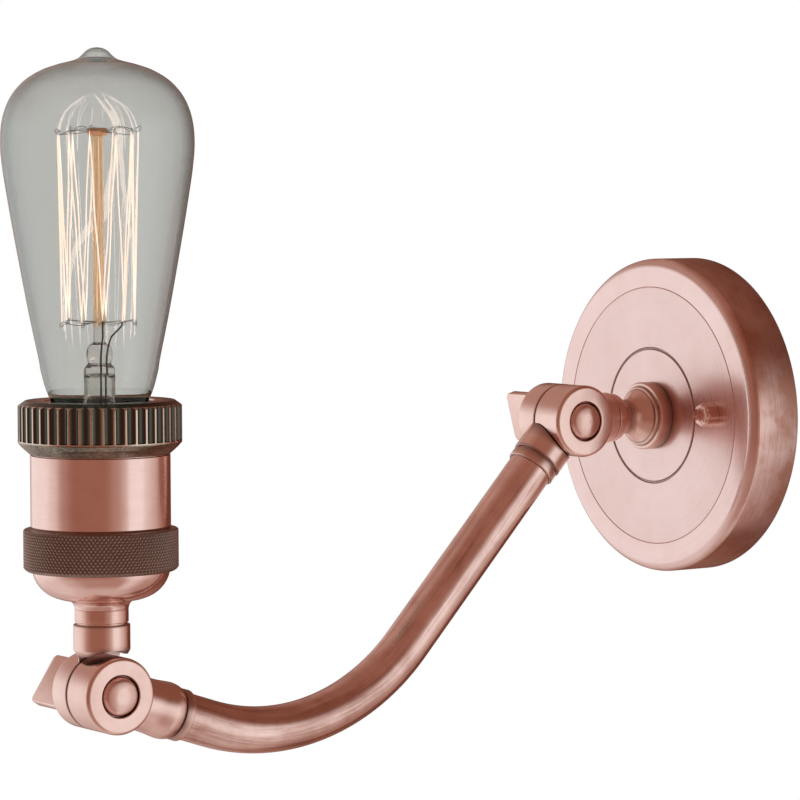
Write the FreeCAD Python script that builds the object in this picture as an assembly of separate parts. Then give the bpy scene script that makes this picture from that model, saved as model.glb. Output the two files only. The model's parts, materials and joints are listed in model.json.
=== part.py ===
import FreeCAD, Part
import math
import os
from FreeCAD import Vector

# Wall sconce with a half-lap swivel at each end of its arm. Millimetres.
# X runs to the right along the wall, -Y comes out of the wall and Z is up.
# The origin is the centre of the wall plate's back, on the wall.

# Wall plate: a spun shell, open at the back
plate_r = 58.1
plate_depth = 21.0
plate_wall = 1.2
plate_edge_r = 2.5
groove_r = 24.85
groove_w = 1.1
groove_deep = 0.5
rim_groove_in = 10.5
rim_groove_w = 0.4
rim_groove_deep = 0.25

# Crossbar that screws to the outlet box, and what stands on it
strap_end_gap = 4.9
strap_w = 20.0
strap_t = 2.0
box_screw_inset = 13.65
box_slot_l = 10.0
box_slot_w = 4.8
stud_inset = 9.525
stud_turn = 3.3
stud_r = 2.0
stud_nut_r = 4.0
stud_nut_t = 2.4
cap_nut_r = 4.3
cap_nut_l = 5.8
cap_nut_lobes = 8
cap_nut_lobe_deep = 0.3
cap_nut_cover = 1.6
stud_end_gap = 0.4
ground_inset = 13.925
ground_screw_r = 1.9
ground_head_r = 4.4
ground_head_t = 2.2

# Threaded tubes, their nuts and washers
nipple_r = 5.0
nipple_bore_r = 3.6
nut_flat_r = 7.0
nut_t = 3.0
washer_r = 8.0
washer_t = 0.8
thread_gap = 0.05

# Turned nozzle between the plate and the upper swivel, lengths out from the plate
nozzle_disc_r = 12.45
nozzle_disc_t = 5.3
nozzle_lip_r = 10.6
nozzle_lip_t = 1.2
nozzle_neck_r = 6.2
nozzle_neck_at = 13.6
nozzle_bead_at = 17.2
nozzle_bead_r = 8.9
nozzle_l = 21.3
nozzle_disc_edge = 0.9
nozzle_lip_edge = 0.4
nozzle_cove_step = 0.5
nozzle_bead_edge = 0.5

# Swivels: two half barrels side by side on one bolt, each with its own stub
upper_out = 61.4
barrel_r = 13.0
barrel_edge_r = 1.4
barrel_right = 12.5
barrel_left = 12.0
split_x = -1.5
split_gap = 0.6
friction_r = 11.0
friction_bore_r = 9.7
chamber_r = 9.5
chamber_boss_r = 4.6
chamber_deep = 8.0
lead_hole_r = 2.1
lead_hole_off = 2.85
bore_floor = 16.2
stub_relief = 0.35
wall_stub_r = 9.3
arm_stub_r = 9.3
arm_stub_l = 19.6
low_stub_r = 9.2
low_stub_bulge_r = 9.8
low_stub_bulge_at = 24.5
low_stub_end_r = 9.0
low_stub_l = 28.5
low_stub_relief_r = 14.8
stem_neck_r = 8.0
stem_neck_top = 11.9
stem_collar_r = 9.5
stem_collar_low = 14.6
stem_collar_top = 23.2
stem_relief_r = 15.0

# Bolt and thumb key of a swivel
bolt_r = 2.5
bolt_head_r = 6.4
bolt_head_dome = 2.0
bolt_head_stand = 1.8
recess_r = 7.1
recess_deep = 2.0
bolt_gap = 0.06
key_washer_r = 6.6
key_washer_t = 0.6
key_hub_r = 6.0
key_hub_l = 4.6
key_tab_from = 14.0
key_tab_w = 18.3
key_tab_t = 3.5
key_corner_r = 2.0
key_edge_r = 0.5
upper_key_tilt = 14.5
upper_key_tab_to = 31.1
lower_key_tilt = -33.0
lower_key_tab_to = 38.5

# Arm: a tube with one bend, sized along its centre line
tube_r = 8.1
tube_wall = 1.2
upper_slope = 47.3
upper_run = 104.5
bend_r = 78.0
lower_slope = 18.8
lower_run = 44.0
spigot_l = 11.5
spigot_gap = 0.05
collar_r = 9.0
collar_l = 3.6
collar_gap = 0.4
lead_r = 0.9
lead_pitch = 1.9
lead_off = 2.5
lead_bend_r = 6.0
lead_turn_l = 10.0
supply_rise = 30.0
supply_spread = 10.0
supply_clear = 3.4
supply_step = 3.2
terminal_lead_x = 6.0
lead_seat = 4.0

# Lampholder: heights above the lower swivel's centre
neck_ring_r = 9.0
neck_ring_l = 5.2
neck_ring_groove = 0.7
bowl_r = 23.0
bowl_foot_r = 10.9
bowl_foot_rise = 2.7
bowl_belly_r = 17.2
bowl_belly_rise = 4.65
bowl_shoulder_rise = 13.6
bowl_top = 47.0
bowl_wall = 1.0
stem_nipple_low = 19.8
stem_nipple_top = 35.6
band_wall = 2.87
band_low = 41.3
band_top = 55.2
band_bevel = 1.1
band_top_bevel = 0.7
shell_r = 23.35
shell_step = 56.2
shell_thread_low = 79.9
shell_thread_r = 22.5
shell_top = 94.6
shell_wall = 1.0
core_flange_t = 3.0
core_r = 19.0
core_floor = 61.0
core_top = 88.0
core_bore_r = 14.2
core_foot = 43.0
screw_shell_r = 13.5
screw_shell_wall = 0.4
screw_shell_top = 86.0
contact_t = 0.8
contact_r = 4.0
terminal_r = 1.4
terminal_head_r = 2.2
terminal_l = 7.0
terminal_sunk = 3.0
terminal_head_t = 1.4

# Fluted shade ring, screwed on the lampholder's shell
ring_seat = 0.3
ring_low_r = 23.4
ring_r = 27.3
ring_bevel_top = 84.0
ring_shoulder = 96.3
ring_top = 98.0
ring_top_r = 24.9
ring_mouth_r = 18.0
ring_lip_t = 2.2
ring_gap = 0.1
flute_count = 45
flute_low = 84.9
flute_r = 1.9
flute_deep = 0.75

# Bulb: long pear shape, heights above the lower swivel's centre
bulb_cap_r = 13.1
bulb_cap_low = 68.0
bulb_cap_top = 91.0
bulb_cap_wall = 0.4
bulb_button_r = 4.6
bulb_button_t = 1.2
bulb_collar_r = 7.5
bulb_glass_wall = 0.8
bulb_neck_r = 12.4
bulb_skirt_low = 86.0
bulb_neck_h = 91.3
bulb_mouth = (16.0, 97.5)
bulb_shoulder = (19.5, 107.8)
bulb_side = (25.75, 139.7)
bulb_hip = (31.0, 172.0)
bulb_widest = (32.15, 183.4)
bulb_turn_in = (30.1, 195.3)
bulb_crown = (24.7, 203.3)
bulb_top = (15.2, 208.4)
bulb_pip_foot = (7.2, 210.8)
bulb_pip_h = 4.05
bulb_pip_ball_r = 5.9
bulb_pip_low = 36.0
stem_tube_r = 5.2
stem_tube_top = 109.6
stem_press_r = 4.35
stem_press_l = 7.0
stem_flare_low = 92.5
rod_r = 1.9
hub_rise = 3.6
hub_r = 3.7
hub_t = 2.6
cage_l = 63.0
cage_top_r = 13.5
cage_low_r = 12.3
cage_hooks = 11
filament_r = 0.14
support_r = 0.16
lead_wire_r = 0.35

UP = Vector(0, 0, 1)
ACROSS = Vector(1, 0, 0)
HOME = Vector(0, 0, 0)


def at(r, h):
    """Point of a turned outline, radius r and height h."""
    return Vector(r, 0, h)


def turned(outline):
    """Solid of revolution about Z. A step of two values is a straight line to
    (radius, height); a step of four is an arc through one such point to another."""
    edges = []
    start = at(*outline[0])
    here = start
    for step in outline[1:]:
        end = at(*step[-2:])
        if len(step) == 4:
            edges.append(Part.Arc(here, at(*step[:2]), end).toShape())
        else:
            edges.append(Part.makeLine(here, end))
        here = end
    if here.distanceToPoint(start) > 1e-6:
        edges.append(Part.makeLine(here, start))
    solid = Part.Face(Part.Wire(edges)).revolve(HOME, UP, 360)
    if solid.Volume < 0:
        solid.reverse()
    return solid


def tube(outer_r, inner_r, low, high):
    """Plain ring between two heights."""
    return turned([(inner_r, low), (outer_r, low), (outer_r, high), (inner_r, high)])


def rod(r, low, high, x=0.0, y=0.0):
    """Cylinder along Z between two heights."""
    return Part.makeCylinder(r, high - low, Vector(x, y, low), UP)


def rims(shape, rim_r, rim_h):
    """Circular edges of a turned solid with this radius at this height."""
    found = []
    for edge in shape.Edges:
        curve = edge.Curve
        if isinstance(curve, Part.Circle):
            if abs(curve.Radius - rim_r) < 1e-4 and abs(curve.Center.z - rim_h) < 1e-4:
                found.append(edge)
    return found


def rounded(shape, radius, *places):
    """Round the rims of a turned solid, each given as (radius, height)."""
    edges = []
    for rim_r, rim_h in places:
        edges += rims(shape, rim_r, rim_h)
    return shape.makeFillet(radius, edges)


def bevelled(shape, size, *places):
    """Bevel the rims of a turned solid, each given as (radius, height)."""
    edges = []
    for rim_r, rim_h in places:
        edges += rims(shape, rim_r, rim_h)
    return shape.makeChamfer(size, edges)


def dome(r, low, rise):
    """Outline steps over a low dome, from its rim at (r, low) to its top on the axis."""
    ball = (r * r + rise * rise) / (2.0 * rise)
    half = math.asin(r / ball) / 2.0
    return (ball * math.sin(half), low + rise - ball + ball * math.cos(half), 0.0, low + rise)


def hexagon(flat_r, bore_r, low, high):
    """Hexagon nut about Z; flat_r is the distance from the axis to a flat."""
    corner_r = flat_r / math.cos(math.pi / 6)
    corners = []
    for k in range(7):
        angle = math.pi / 3 * k
        corners.append(Vector(corner_r * math.cos(angle), corner_r * math.sin(angle), low))
    nut = Part.Face(Part.makePolygon(corners)).extrude(Vector(0, 0, high - low))
    return nut.cut(rod(bore_r, low - 1, high + 1))


def out_of_wall(shape):
    """Turn a piece made along Z so that its height runs out of the wall, along -Y."""
    turned_shape = shape.copy()
    turned_shape.rotate(HOME, ACROSS, 90)
    return turned_shape


def along_x(shape):
    """Turn a piece made along Z so that its height runs along +X."""
    turned_shape = shape.copy()
    turned_shape.rotate(HOME, Vector(0, 1, 0), 90)
    return turned_shape


def placed(shape, tilt, centre):
    """Tilt a piece about the swivels' direction, X, and move its origin to centre."""
    tilted = shape.copy()
    tilted.rotate(HOME, ACROSS, tilt)
    tilted.translate(centre)
    return tilted


def moved(shape, x=0.0, y=0.0, z=0.0):
    """Copy of a piece, shifted."""
    copy = shape.copy()
    copy.translate(Vector(x, y, z))
    return copy


def rounded_path(points, radii):
    """Wire through points, whose inner corners are arcs tangent to both runs."""
    edges = []
    here = points[0]
    for k in range(1, len(points) - 1):
        back = (points[k - 1] - points[k]).normalize()
        ahead = (points[k + 1] - points[k]).normalize()
        half = back.getAngle(ahead) / 2.0
        reach = radii[k - 1] / math.tan(half)
        enter = points[k] + back * reach
        leave = points[k] + ahead * reach
        middle = (back + ahead).normalize()
        top = points[k] + middle * (radii[k - 1] / math.sin(half) - radii[k - 1])
        edges.append(Part.makeLine(here, enter))
        edges.append(Part.Arc(enter, top, leave).toShape())
        here = leave
    edges.append(Part.makeLine(here, points[-1]))
    return Part.Wire(edges)


def piped(points, radii, r):
    """Round bar of radius r along a path with rounded corners."""
    path = rounded_path(points, radii)
    start = points[0]
    profile = Part.Wire([Part.makeCircle(r, start, points[1] - start)])
    return path.makePipeShell([profile], True, False)


# Where the swivels and the bend lie
upper = Vector(0, -upper_out, 0)
a_top = math.radians(upper_slope)
a_low = math.radians(lower_slope)
arm_out = Vector(0, -math.cos(a_top), -math.sin(a_top))
arm_end = Vector(0, -math.cos(a_low), math.sin(a_low))
bend_reach = bend_r * math.tan((a_top + a_low) / 2.0)
bend_corner = upper + arm_out * (upper_run + bend_reach)
lower = bend_corner + arm_end * (bend_reach + lower_run)

# Tilts that turn +Z to each stub's direction
wall_tilt = -90.0
arm_top_tilt = 90.0 + upper_slope
arm_low_tilt = -90.0 - lower_slope

strap_l = 2.0 * (plate_r - plate_wall - strap_end_gap)
box_screw_pitch = 2.0 * (plate_r - box_screw_inset)
stud_pitch = box_screw_pitch - 2.0 * stud_inset
ground_x = stud_pitch / 2.0 - ground_inset
rim_groove_r = plate_r - rim_groove_in
neck_low = stem_collar_top
ring_low = shell_thread_low + ring_seat
terminal_x = (core_bore_r + core_r) / 2.0
stem_press_top = stem_tube_top + stem_press_l
hub_h = bulb_widest[1] + hub_rise
cage_low = hub_h - cage_l
half_gap = split_gap / 2.0
right_inner = split_x + half_gap
left_inner = split_x - half_gap
plate_face = plate_depth
nozzle_end = plate_face + nozzle_l
wall_stub_l = upper_out - nozzle_end


def pair(shape):
    """Two copies of a piece, at the two studs, whose line is turned a little."""
    half = stud_pitch / 2.0
    both = Part.makeCompound([moved(shape, -half), moved(shape, half)])
    both.rotate(HOME, UP, stud_turn)
    return both


def canopy():
    """Wall plate: shell with a rounded front edge, two turned grooves and three holes."""
    outer = turned([(0, 0), (plate_r, 0), (plate_r, plate_face), (0, plate_face)])
    outer = rounded(outer, plate_edge_r, (plate_r, plate_face))
    inner_r = plate_r - plate_wall
    inner_face = plate_face - plate_wall
    inner = turned([(0, -1), (inner_r, -1), (inner_r, inner_face), (0, inner_face)])
    inner = bevelled(inner, max(plate_edge_r - plate_wall, 0.2), (inner_r, inner_face))
    shell = outer.cut(inner)
    for r, w, deep in ((groove_r, groove_w, groove_deep), (rim_groove_r, rim_groove_w, rim_groove_deep)):
        shell = shell.cut(tube(r + w / 2.0, r - w / 2.0, plate_face - deep, plate_face + 1))
    shell = shell.cut(rod(nipple_r + thread_gap, -1, plate_face + 1))
    shell = shell.cut(pair(rod(stud_r + thread_gap, -1, plate_face + 1)))
    return out_of_wall(shell)


def mounting_strap():
    """Crossbar with rounded ends, a slot near each end and tapped holes between them."""
    half = strap_l / 2.0
    bar = Part.makeBox(strap_l, strap_w, strap_t, Vector(-half, -strap_w / 2.0, 0))
    corners = []
    for edge in bar.Edges:
        if abs(edge.tangentAt(edge.FirstParameter).z) > 0.9:
            corners.append(edge)
    bar = bar.makeFillet(strap_w * 0.3, corners)
    bar = bar.cut(rod(nipple_r + thread_gap, -1, strap_t + 1))
    bar = bar.cut(rod(ground_screw_r + thread_gap, -1, strap_t + 1, ground_x))
    slot_r = box_slot_w / 2.0
    slot_run = box_slot_l - box_slot_w
    for side in (-1, 1):
        middle = side * box_screw_pitch / 2.0
        slot = Part.makeBox(slot_run, box_slot_w, strap_t + 2, Vector(middle - slot_run / 2.0, -slot_r, -1))
        for end in (-1, 1):
            slot = slot.fuse(rod(slot_r, -1, strap_t + 1, middle + end * slot_run / 2.0))
        bar = bar.cut(slot.removeSplitter())
    return out_of_wall(bar.cut(pair(rod(stud_r + thread_gap, -1, strap_t + 1))))


def canopy_studs():
    """Two headless studs from the crossbar through the plate into the cap nuts."""
    stud = rod(stud_r, 0, plate_face + cap_nut_l - cap_nut_cover - stud_end_gap)
    return out_of_wall(pair(bevelled(stud, 0.3, (stud_r, 0))))


def stud_nuts():
    """Two thin nuts that lock the studs on the crossbar."""
    return out_of_wall(pair(hexagon(stud_nut_r, stud_r + thread_gap, strap_t, strap_t + stud_nut_t)))


def cap_nuts():
    """Two small lobed cap nuts on the plate's face."""
    low = plate_face
    top = low + cap_nut_l
    rise = cap_nut_r * 0.25
    nut = turned([(0, low), (cap_nut_r, low), (cap_nut_r, top - rise), (cap_nut_r - rise, top), (0, top)])
    lobe_r = cap_nut_r * 0.24
    cutters = []
    for k in range(cap_nut_lobes):
        angle = 2.0 * math.pi * k / cap_nut_lobes
        reach = cap_nut_r + lobe_r - cap_nut_lobe_deep
        cutters.append(rod(lobe_r, low - 1, top + 1, reach * math.cos(angle), reach * math.sin(angle)))
    nut = nut.cut(Part.makeCompound(cutters))
    nut = nut.cut(rod(stud_r + thread_gap, low - 1, top - cap_nut_cover))
    return out_of_wall(pair(nut))


def ground_screw():
    """Earthing screw in the crossbar."""
    top = strap_t + ground_head_t
    screw = turned([
        (0, 0), (ground_screw_r, 0), (ground_screw_r, strap_t), (ground_head_r, strap_t),
        (ground_head_r, top - 0.6), (ground_head_r - 0.6, top), (0, top)])
    drive = Part.makeBox(2 * ground_head_r + 2, 1.0, 1.2, Vector(-ground_head_r - 1, -0.5, top - 1.0))
    return out_of_wall(moved(screw.cut(drive), ground_x))


def nozzle():
    """Turned spindle: disc, lip, hollow cove, neck and bead, bored for the nipple."""
    disc_end = plate_face + nozzle_disc_t
    lip_end = disc_end + nozzle_lip_t
    neck = plate_face + nozzle_neck_at
    bead = plate_face + nozzle_bead_at
    bead_mid = (bead + nozzle_end) / 2.0
    cove_r = nozzle_lip_r - nozzle_cove_step
    cove_through_r = nozzle_neck_r + (cove_r - nozzle_neck_r) * 0.22
    cove_through = lip_end + (neck - lip_end) * 0.5
    bead_rise = nozzle_bead_r - nozzle_neck_r
    outline = [
        (nipple_r + thread_gap, plate_face),
        (nozzle_disc_r, plate_face),
        (nozzle_disc_r, disc_end - nozzle_disc_edge),
        (nozzle_disc_r - nozzle_disc_edge, disc_end),
        (nozzle_lip_r, disc_end),
        (nozzle_lip_r, lip_end - nozzle_lip_edge),
        (nozzle_lip_r - nozzle_lip_edge, lip_end),
        (cove_r, lip_end),
        (cove_through_r, cove_through, nozzle_neck_r, neck),
        (nozzle_neck_r, bead - 0.6),
        (nozzle_neck_r + bead_rise * 0.7, bead + 0.1),
        (nozzle_bead_r, bead_mid),
        (nozzle_bead_r, nozzle_end - nozzle_bead_edge),
        (nozzle_bead_r - nozzle_bead_edge, nozzle_end),
        (nipple_r + thread_gap, nozzle_end)]
    return out_of_wall(turned(outline))


nipple_low = plate_face - plate_wall - washer_t - nut_t - 1.6
nipple_high = nozzle_end - 0.6


def nozzle_nipple():
    """Threaded tube that holds the nozzle and the swivel to the plate."""
    wall_bore_floor = upper_out - bore_floor
    high = min(nipple_high + 6.0, wall_bore_floor)
    body = tube(nipple_r, nipple_bore_r, nipple_low, high)
    return out_of_wall(body)


def lock_washer():
    """Toothed washer behind the plate."""
    high = plate_face - plate_wall
    low = high - washer_t
    body = tube(washer_r, nipple_r + thread_gap, low, high)
    teeth = []
    for k in range(12):
        angle = 2.0 * math.pi * k / 12
        x = washer_r * math.cos(angle)
        y = washer_r * math.sin(angle)
        teeth.append(rod(washer_r * 0.1, low - 1, high + 1, x, y))
    return out_of_wall(body.cut(Part.makeCompound(teeth)))


def lock_nut():
    """Hexagon nut on the nipple, behind the washer."""
    high = plate_face - plate_wall - washer_t
    return out_of_wall(hexagon(nut_flat_r, nipple_r + thread_gap, high - nut_t, high))


def knuckle(side, stub, clear_r, bore_top):
    """Half of a swivel: half barrel along X on one side of the split, and a stub along
    +Z that is centred on the whole barrel, so the other half's space is cut from it."""
    inner = split_x + side * half_gap
    outer = barrel_right if side > 0 else -barrel_left
    low = min(inner, outer)
    high = max(inner, outer)
    barrel = turned([(0, low), (barrel_r, low), (barrel_r, high), (0, high)])
    barrel = rounded(barrel, barrel_edge_r, (barrel_r, outer))
    barrel = bevelled(barrel, 0.25, (barrel_r, inner))
    body = along_x(barrel).fuse(stub)
    reach = 2.0 * barrel_r
    far = inner - side * reach
    other = along_x(rod(clear_r, min(inner, far), max(inner, far)))
    body = body.cut(other)
    deep = inner + side * chamber_deep
    chamber = tube(chamber_r, chamber_boss_r, min(inner, deep), max(inner, deep))
    body = body.cut(along_x(chamber))
    body = body.cut(along_x(rod(bolt_r + bolt_gap, -reach, reach)))
    if side > 0:
        body = body.cut(along_x(rod(recess_r, barrel_right - recess_deep, barrel_right + 1)))
    hole_x = split_x + side * lead_hole_off
    body = body.cut(rod(lead_hole_r, (chamber_r + chamber_boss_r) / 2.0, bore_floor + 0.5, hole_x))
    body = body.cut(rod(nipple_r + thread_gap, bore_floor, bore_top))
    return body


def upper_knuckle_wall():
    """Right half of the upper swivel, on the wall side."""
    stub = bevelled(rod(wall_stub_r, 0, wall_stub_l), 0.5, (wall_stub_r, wall_stub_l))
    half = knuckle(1, stub, barrel_r + stub_relief, wall_stub_l + 1)
    return placed(half, wall_tilt, upper)


def arm_spigot(low):
    """Outline of the reduced end that slides into the arm tube."""
    spigot_r = tube_r - tube_wall - spigot_gap
    tip = low + spigot_l
    return [(spigot_r, low), (spigot_r, tip - 0.8), (spigot_r - 0.8, tip), (0, tip)]


def upper_knuckle_arm():
    """Left half of the upper swivel, on the arm."""
    stub = turned([(0, 0), (arm_stub_r, 0), (arm_stub_r, arm_stub_l)] + arm_spigot(arm_stub_l))
    stub = bevelled(stub, 0.5, (arm_stub_r, arm_stub_l))
    half = knuckle(-1, stub, barrel_r + stub_relief, arm_stub_l + spigot_l + 1)
    return placed(half, arm_top_tilt, upper)


def lower_knuckle_arm():
    """Right half of the lower swivel, on the arm; its stub swells before the tube."""
    bulge = low_stub_bulge_at
    outline = [
        (0, 0), (low_stub_r, 0), (low_stub_r, bulge - 8.0),
        (low_stub_r + (low_stub_bulge_r - low_stub_r) * 0.3, bulge - 4.0, low_stub_bulge_r, bulge),
        ((low_stub_bulge_r + low_stub_end_r) / 2.0 + 0.25, (bulge + low_stub_l) / 2.0 + 0.4,
         low_stub_end_r, low_stub_l)]
    stub = turned(outline + arm_spigot(low_stub_l))
    half = knuckle(1, stub, low_stub_relief_r, low_stub_l + spigot_l + 1)
    return placed(half, arm_low_tilt, lower)


def lower_knuckle_socket():
    """Left half of the lower swivel, under the lampholder: narrow neck, then a collar."""
    stub = turned([
        (0, 0), (stem_neck_r, 0), (stem_neck_r, stem_neck_top), (stem_collar_r, stem_collar_low),
        (stem_collar_r, stem_collar_top - 0.4), (stem_collar_r - 0.4, stem_collar_top), (0, stem_collar_top)])
    half = knuckle(-1, stub, stem_relief_r, stem_collar_top + 1)
    return placed(half, 0.0, lower)


def friction_washer(centre):
    """Ring between the two halves of a swivel."""
    ring = along_x(tube(friction_r, friction_bore_r, left_inner, right_inner))
    return placed(ring, 0.0, centre)


def pivot_bolt(tilt, centre):
    """Bolt of a swivel: low domed head in its recess, shank through both halves."""
    seat = barrel_right - recess_deep
    rim = barrel_right + bolt_head_stand - bolt_head_dome
    tip = -(barrel_left + key_washer_t + key_hub_l - 0.8)
    bolt = turned([
        (0, tip), (bolt_r - 0.4, tip), (bolt_r, tip + 0.4), (bolt_r, seat), (bolt_head_r, seat),
        (bolt_head_r, rim), dome(bolt_head_r, rim, bolt_head_dome)])
    return placed(along_x(bolt), tilt, centre)


def key_washer(centre):
    """Plain washer under a thumb key."""
    low = -(barrel_left + key_washer_t)
    return placed(along_x(tube(key_washer_r, bolt_r + bolt_gap, low, -barrel_left)), 0.0, centre)


def thumb_key(tilt, centre, tab_to):
    """Thumb key: round hub on the bolt's thread and a flat tab across it, out to tab_to."""
    hub_face = -(barrel_left + key_washer_t)
    hub_end = hub_face - key_hub_l
    hub = rod(key_hub_r, hub_end, hub_face)
    hub = bevelled(hub, 0.8, (key_hub_r, hub_end))
    tab = Part.makeBox(
        tab_to - key_tab_from, key_tab_t, key_tab_w,
        Vector(-tab_to, -key_tab_t / 2.0, -key_tab_w / 2.0))
    corners = []
    for edge in tab.Edges:
        if abs(edge.tangentAt(edge.FirstParameter).y) > 0.9:
            corners.append(edge)
    tab = tab.makeFillet(key_corner_r, corners)
    rim = [edge for edge in tab.Edges if abs(abs(edge.CenterOfMass.y) - key_tab_t / 2.0) < 1e-6]
    tab = tab.makeChamfer(key_edge_r, rim)
    key = along_x(hub).fuse(tab)
    key = key.cut(along_x(rod(bolt_r + bolt_gap, hub_end + 0.5, hub_face + 1)))
    return placed(key, tilt, centre)


def arm_tube():
    """Bent tube between the shoulders of the two stubs."""
    start = upper + arm_out * arm_stub_l
    end = lower - arm_end * low_stub_l
    outer = piped([start, bend_corner, end], [bend_r], tube_r)
    inner = piped([start - arm_out, bend_corner, end + arm_end], [bend_r], tube_r - tube_wall)
    return outer.cut(inner)


def tube_collar(low):
    """Rounded ring on the arm tube, next to a stub, in the stub's own frame."""
    high = low + collar_l
    ring = tube(collar_r, tube_r, low, high)
    return bevelled(ring, 0.5, (collar_r, low), (collar_r, high))


def upper_collar():
    return placed(tube_collar(arm_stub_l + collar_gap), arm_top_tilt, upper)


def lower_collar():
    return placed(tube_collar(low_stub_l + collar_gap), arm_low_tilt, lower)


def lead_x(side):
    """X at which the pair of leads runs in a swivel half."""
    return split_x + side * lead_off


lead_rise = (chamber_r + chamber_boss_r) / 2.0
lead_turn = bore_floor + 0.2


def arm_leads():
    """Two insulated leads from the upper swivel's chamber to the lower one's. They lie one
    above the other in the arm's plane, so each bends with a radius of its own."""
    top_side = ACROSS.cross(arm_out)
    low_side = ACROSS.cross(arm_end)
    corner_side = (top_side + low_side) / (1.0 + top_side.dot(low_side))
    left = Vector(lead_x(-1), 0, 0)
    right = Vector(lead_x(1), 0, 0)
    leads = []
    for strand in (-1, 1):
        off = strand * lead_pitch / 2.0
        points = [
            upper + arm_out * lead_rise + left + top_side * off,
            upper + arm_out * lead_turn + left + top_side * off,
            upper + arm_out * (lead_turn + lead_turn_l) + right + top_side * off,
            bend_corner + right + corner_side * off,
            lower - arm_end * lead_rise + right + low_side * off]
        leads.append(piped(points, [lead_bend_r, lead_bend_r, bend_r + off], lead_r))
    return Part.makeCompound(leads)


def supply_leads():
    """Two leads from the upper swivel's chamber back through the nipple into the plate,
    where each turns up at a depth of its own."""
    leads = []
    for strand in (-1, 1):
        off = strand * lead_pitch / 2.0
        deep = -(strap_t + supply_clear + supply_step * (strand + 1) / 2.0)
        points = [
            Vector(lead_x(1), -upper_out + lead_rise, off),
            Vector(lead_x(1), deep, off),
            Vector(lead_x(1) + strand * supply_spread, deep, supply_rise)]
        leads.append(piped(points, [lead_bend_r * 0.7], lead_r))
    return Part.makeCompound(leads)


def socket_leads():
    """Two leads from the lower swivel's chamber through the stem into the core's foot."""
    in_nipple = -(nipple_bore_r - lead_r - 0.4)
    leads = []
    for strand in (-1, 1):
        off = strand * lead_pitch / 2.0
        terminal = strand * terminal_lead_x
        points = [
            Vector(lead_x(-1), off, lead_rise),
            Vector(lead_x(-1), off, lead_turn),
            Vector(in_nipple, off, stem_nipple_low),
            Vector(in_nipple, off, stem_nipple_top),
            Vector(terminal, off, core_foot - 1.2),
            Vector(terminal, off, core_foot + lead_seat)]
        radii = [lead_bend_r * 0.6, lead_bend_r * 0.6, lead_bend_r * 0.3, lead_bend_r * 0.3]
        leads.append(moved(piped(points, radii, lead_r), 0, lower.y, lower.z))
    return Part.makeCompound(leads)


def on_lower(shape):
    """Place a piece made about Z, with its heights from the lower swivel's centre."""
    return placed(shape, 0.0, lower)


def stem_nipple():
    """Threaded tube that joins the stem, the neck ring and the bowl."""
    return on_lower(tube(nipple_r, nipple_bore_r, stem_nipple_low, stem_nipple_top))


def neck_ring():
    """Ring between the stem's collar and the bowl, with a shallow groove at its foot."""
    top = neck_low + neck_ring_l
    slim = neck_ring_r - 0.5
    ring = turned([
        (nipple_r + thread_gap, neck_low), (slim, neck_low), (slim, neck_low + neck_ring_groove),
        (neck_ring_r, neck_low + neck_ring_groove), (neck_ring_r, top), (nipple_r + thread_gap, top)])
    return on_lower(bevelled(ring, 0.3, (neck_ring_r, top)))


bowl_low = neck_low + neck_ring_l


def bowl():
    """Spun bowl at the foot of the lampholder: a tight hollow foot, a flat belly and a
    round shoulder that ends upright. Inside it is plain and conical."""
    low = bowl_low
    shoulder = low + bowl_shoulder_rise
    foot = low + bowl_foot_rise
    belly = low + bowl_belly_rise
    inner_r = bowl_r - bowl_wall
    bore = nipple_r + thread_gap
    body = turned([
        (bore, low), (neck_ring_r, low),
        (neck_ring_r + (bowl_foot_r - neck_ring_r) * 0.28, low + bowl_foot_rise * 0.6), (bowl_foot_r, foot),
        ((bowl_foot_r + bowl_belly_r) / 2.0 + 0.15, (foot + belly) / 2.0 - 0.3), (bowl_belly_r, belly),
        (bowl_r - 1.8, belly + (shoulder - belly) * 0.41, bowl_r, shoulder),
        (bowl_r, bowl_top), (inner_r, bowl_top), (inner_r, shoulder),
        (inner_r - 1.9, belly + (shoulder - belly) * 0.41), (bowl_belly_r - 0.5, belly + bowl_wall),
        (bowl_foot_r, foot + bowl_wall), (neck_ring_r - 0.4, low + bowl_foot_rise * 0.7 + 0.2),
        (neck_ring_r - 0.8, low + bowl_wall), (bore, low + bowl_wall)])
    return on_lower(body)


def bowl_nut():
    """Nut on the stem nipple inside the bowl."""
    low = bowl_low + bowl_wall
    return on_lower(hexagon(nut_flat_r, nipple_r + thread_gap, low, low + nut_t))


def knurled_band():
    """Band that joins bowl and shell; bevelled above and below."""
    outer = bowl_r + band_wall
    band = tube(outer, bowl_r + thread_gap, band_low, band_top)
    band = bevelled(band, band_bevel, (outer, band_low))
    return on_lower(bevelled(band, band_top_bevel, (outer, band_top)))


def socket_shell():
    """Lampholder's shell: plain cup, stepped in below for the band and above for the ring."""
    flange_top = bowl_top + core_flange_t
    inner = shell_thread_r - shell_wall
    wide = shell_r - shell_wall
    shell = turned([
        (bowl_r - shell_wall, flange_top), (bowl_r, flange_top), (bowl_r, shell_step - 0.5),
        (shell_r, shell_step), (shell_r, shell_thread_low), (shell_thread_r, shell_thread_low),
        (shell_thread_r, shell_top), (inner, shell_top), (inner, shell_thread_low - shell_wall),
        (wide, shell_thread_low - shell_wall), (wide, shell_step + shell_wall),
        (bowl_r - shell_wall, shell_step)])
    return on_lower(bevelled(shell, 0.4, (shell_thread_r, shell_top)))


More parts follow.
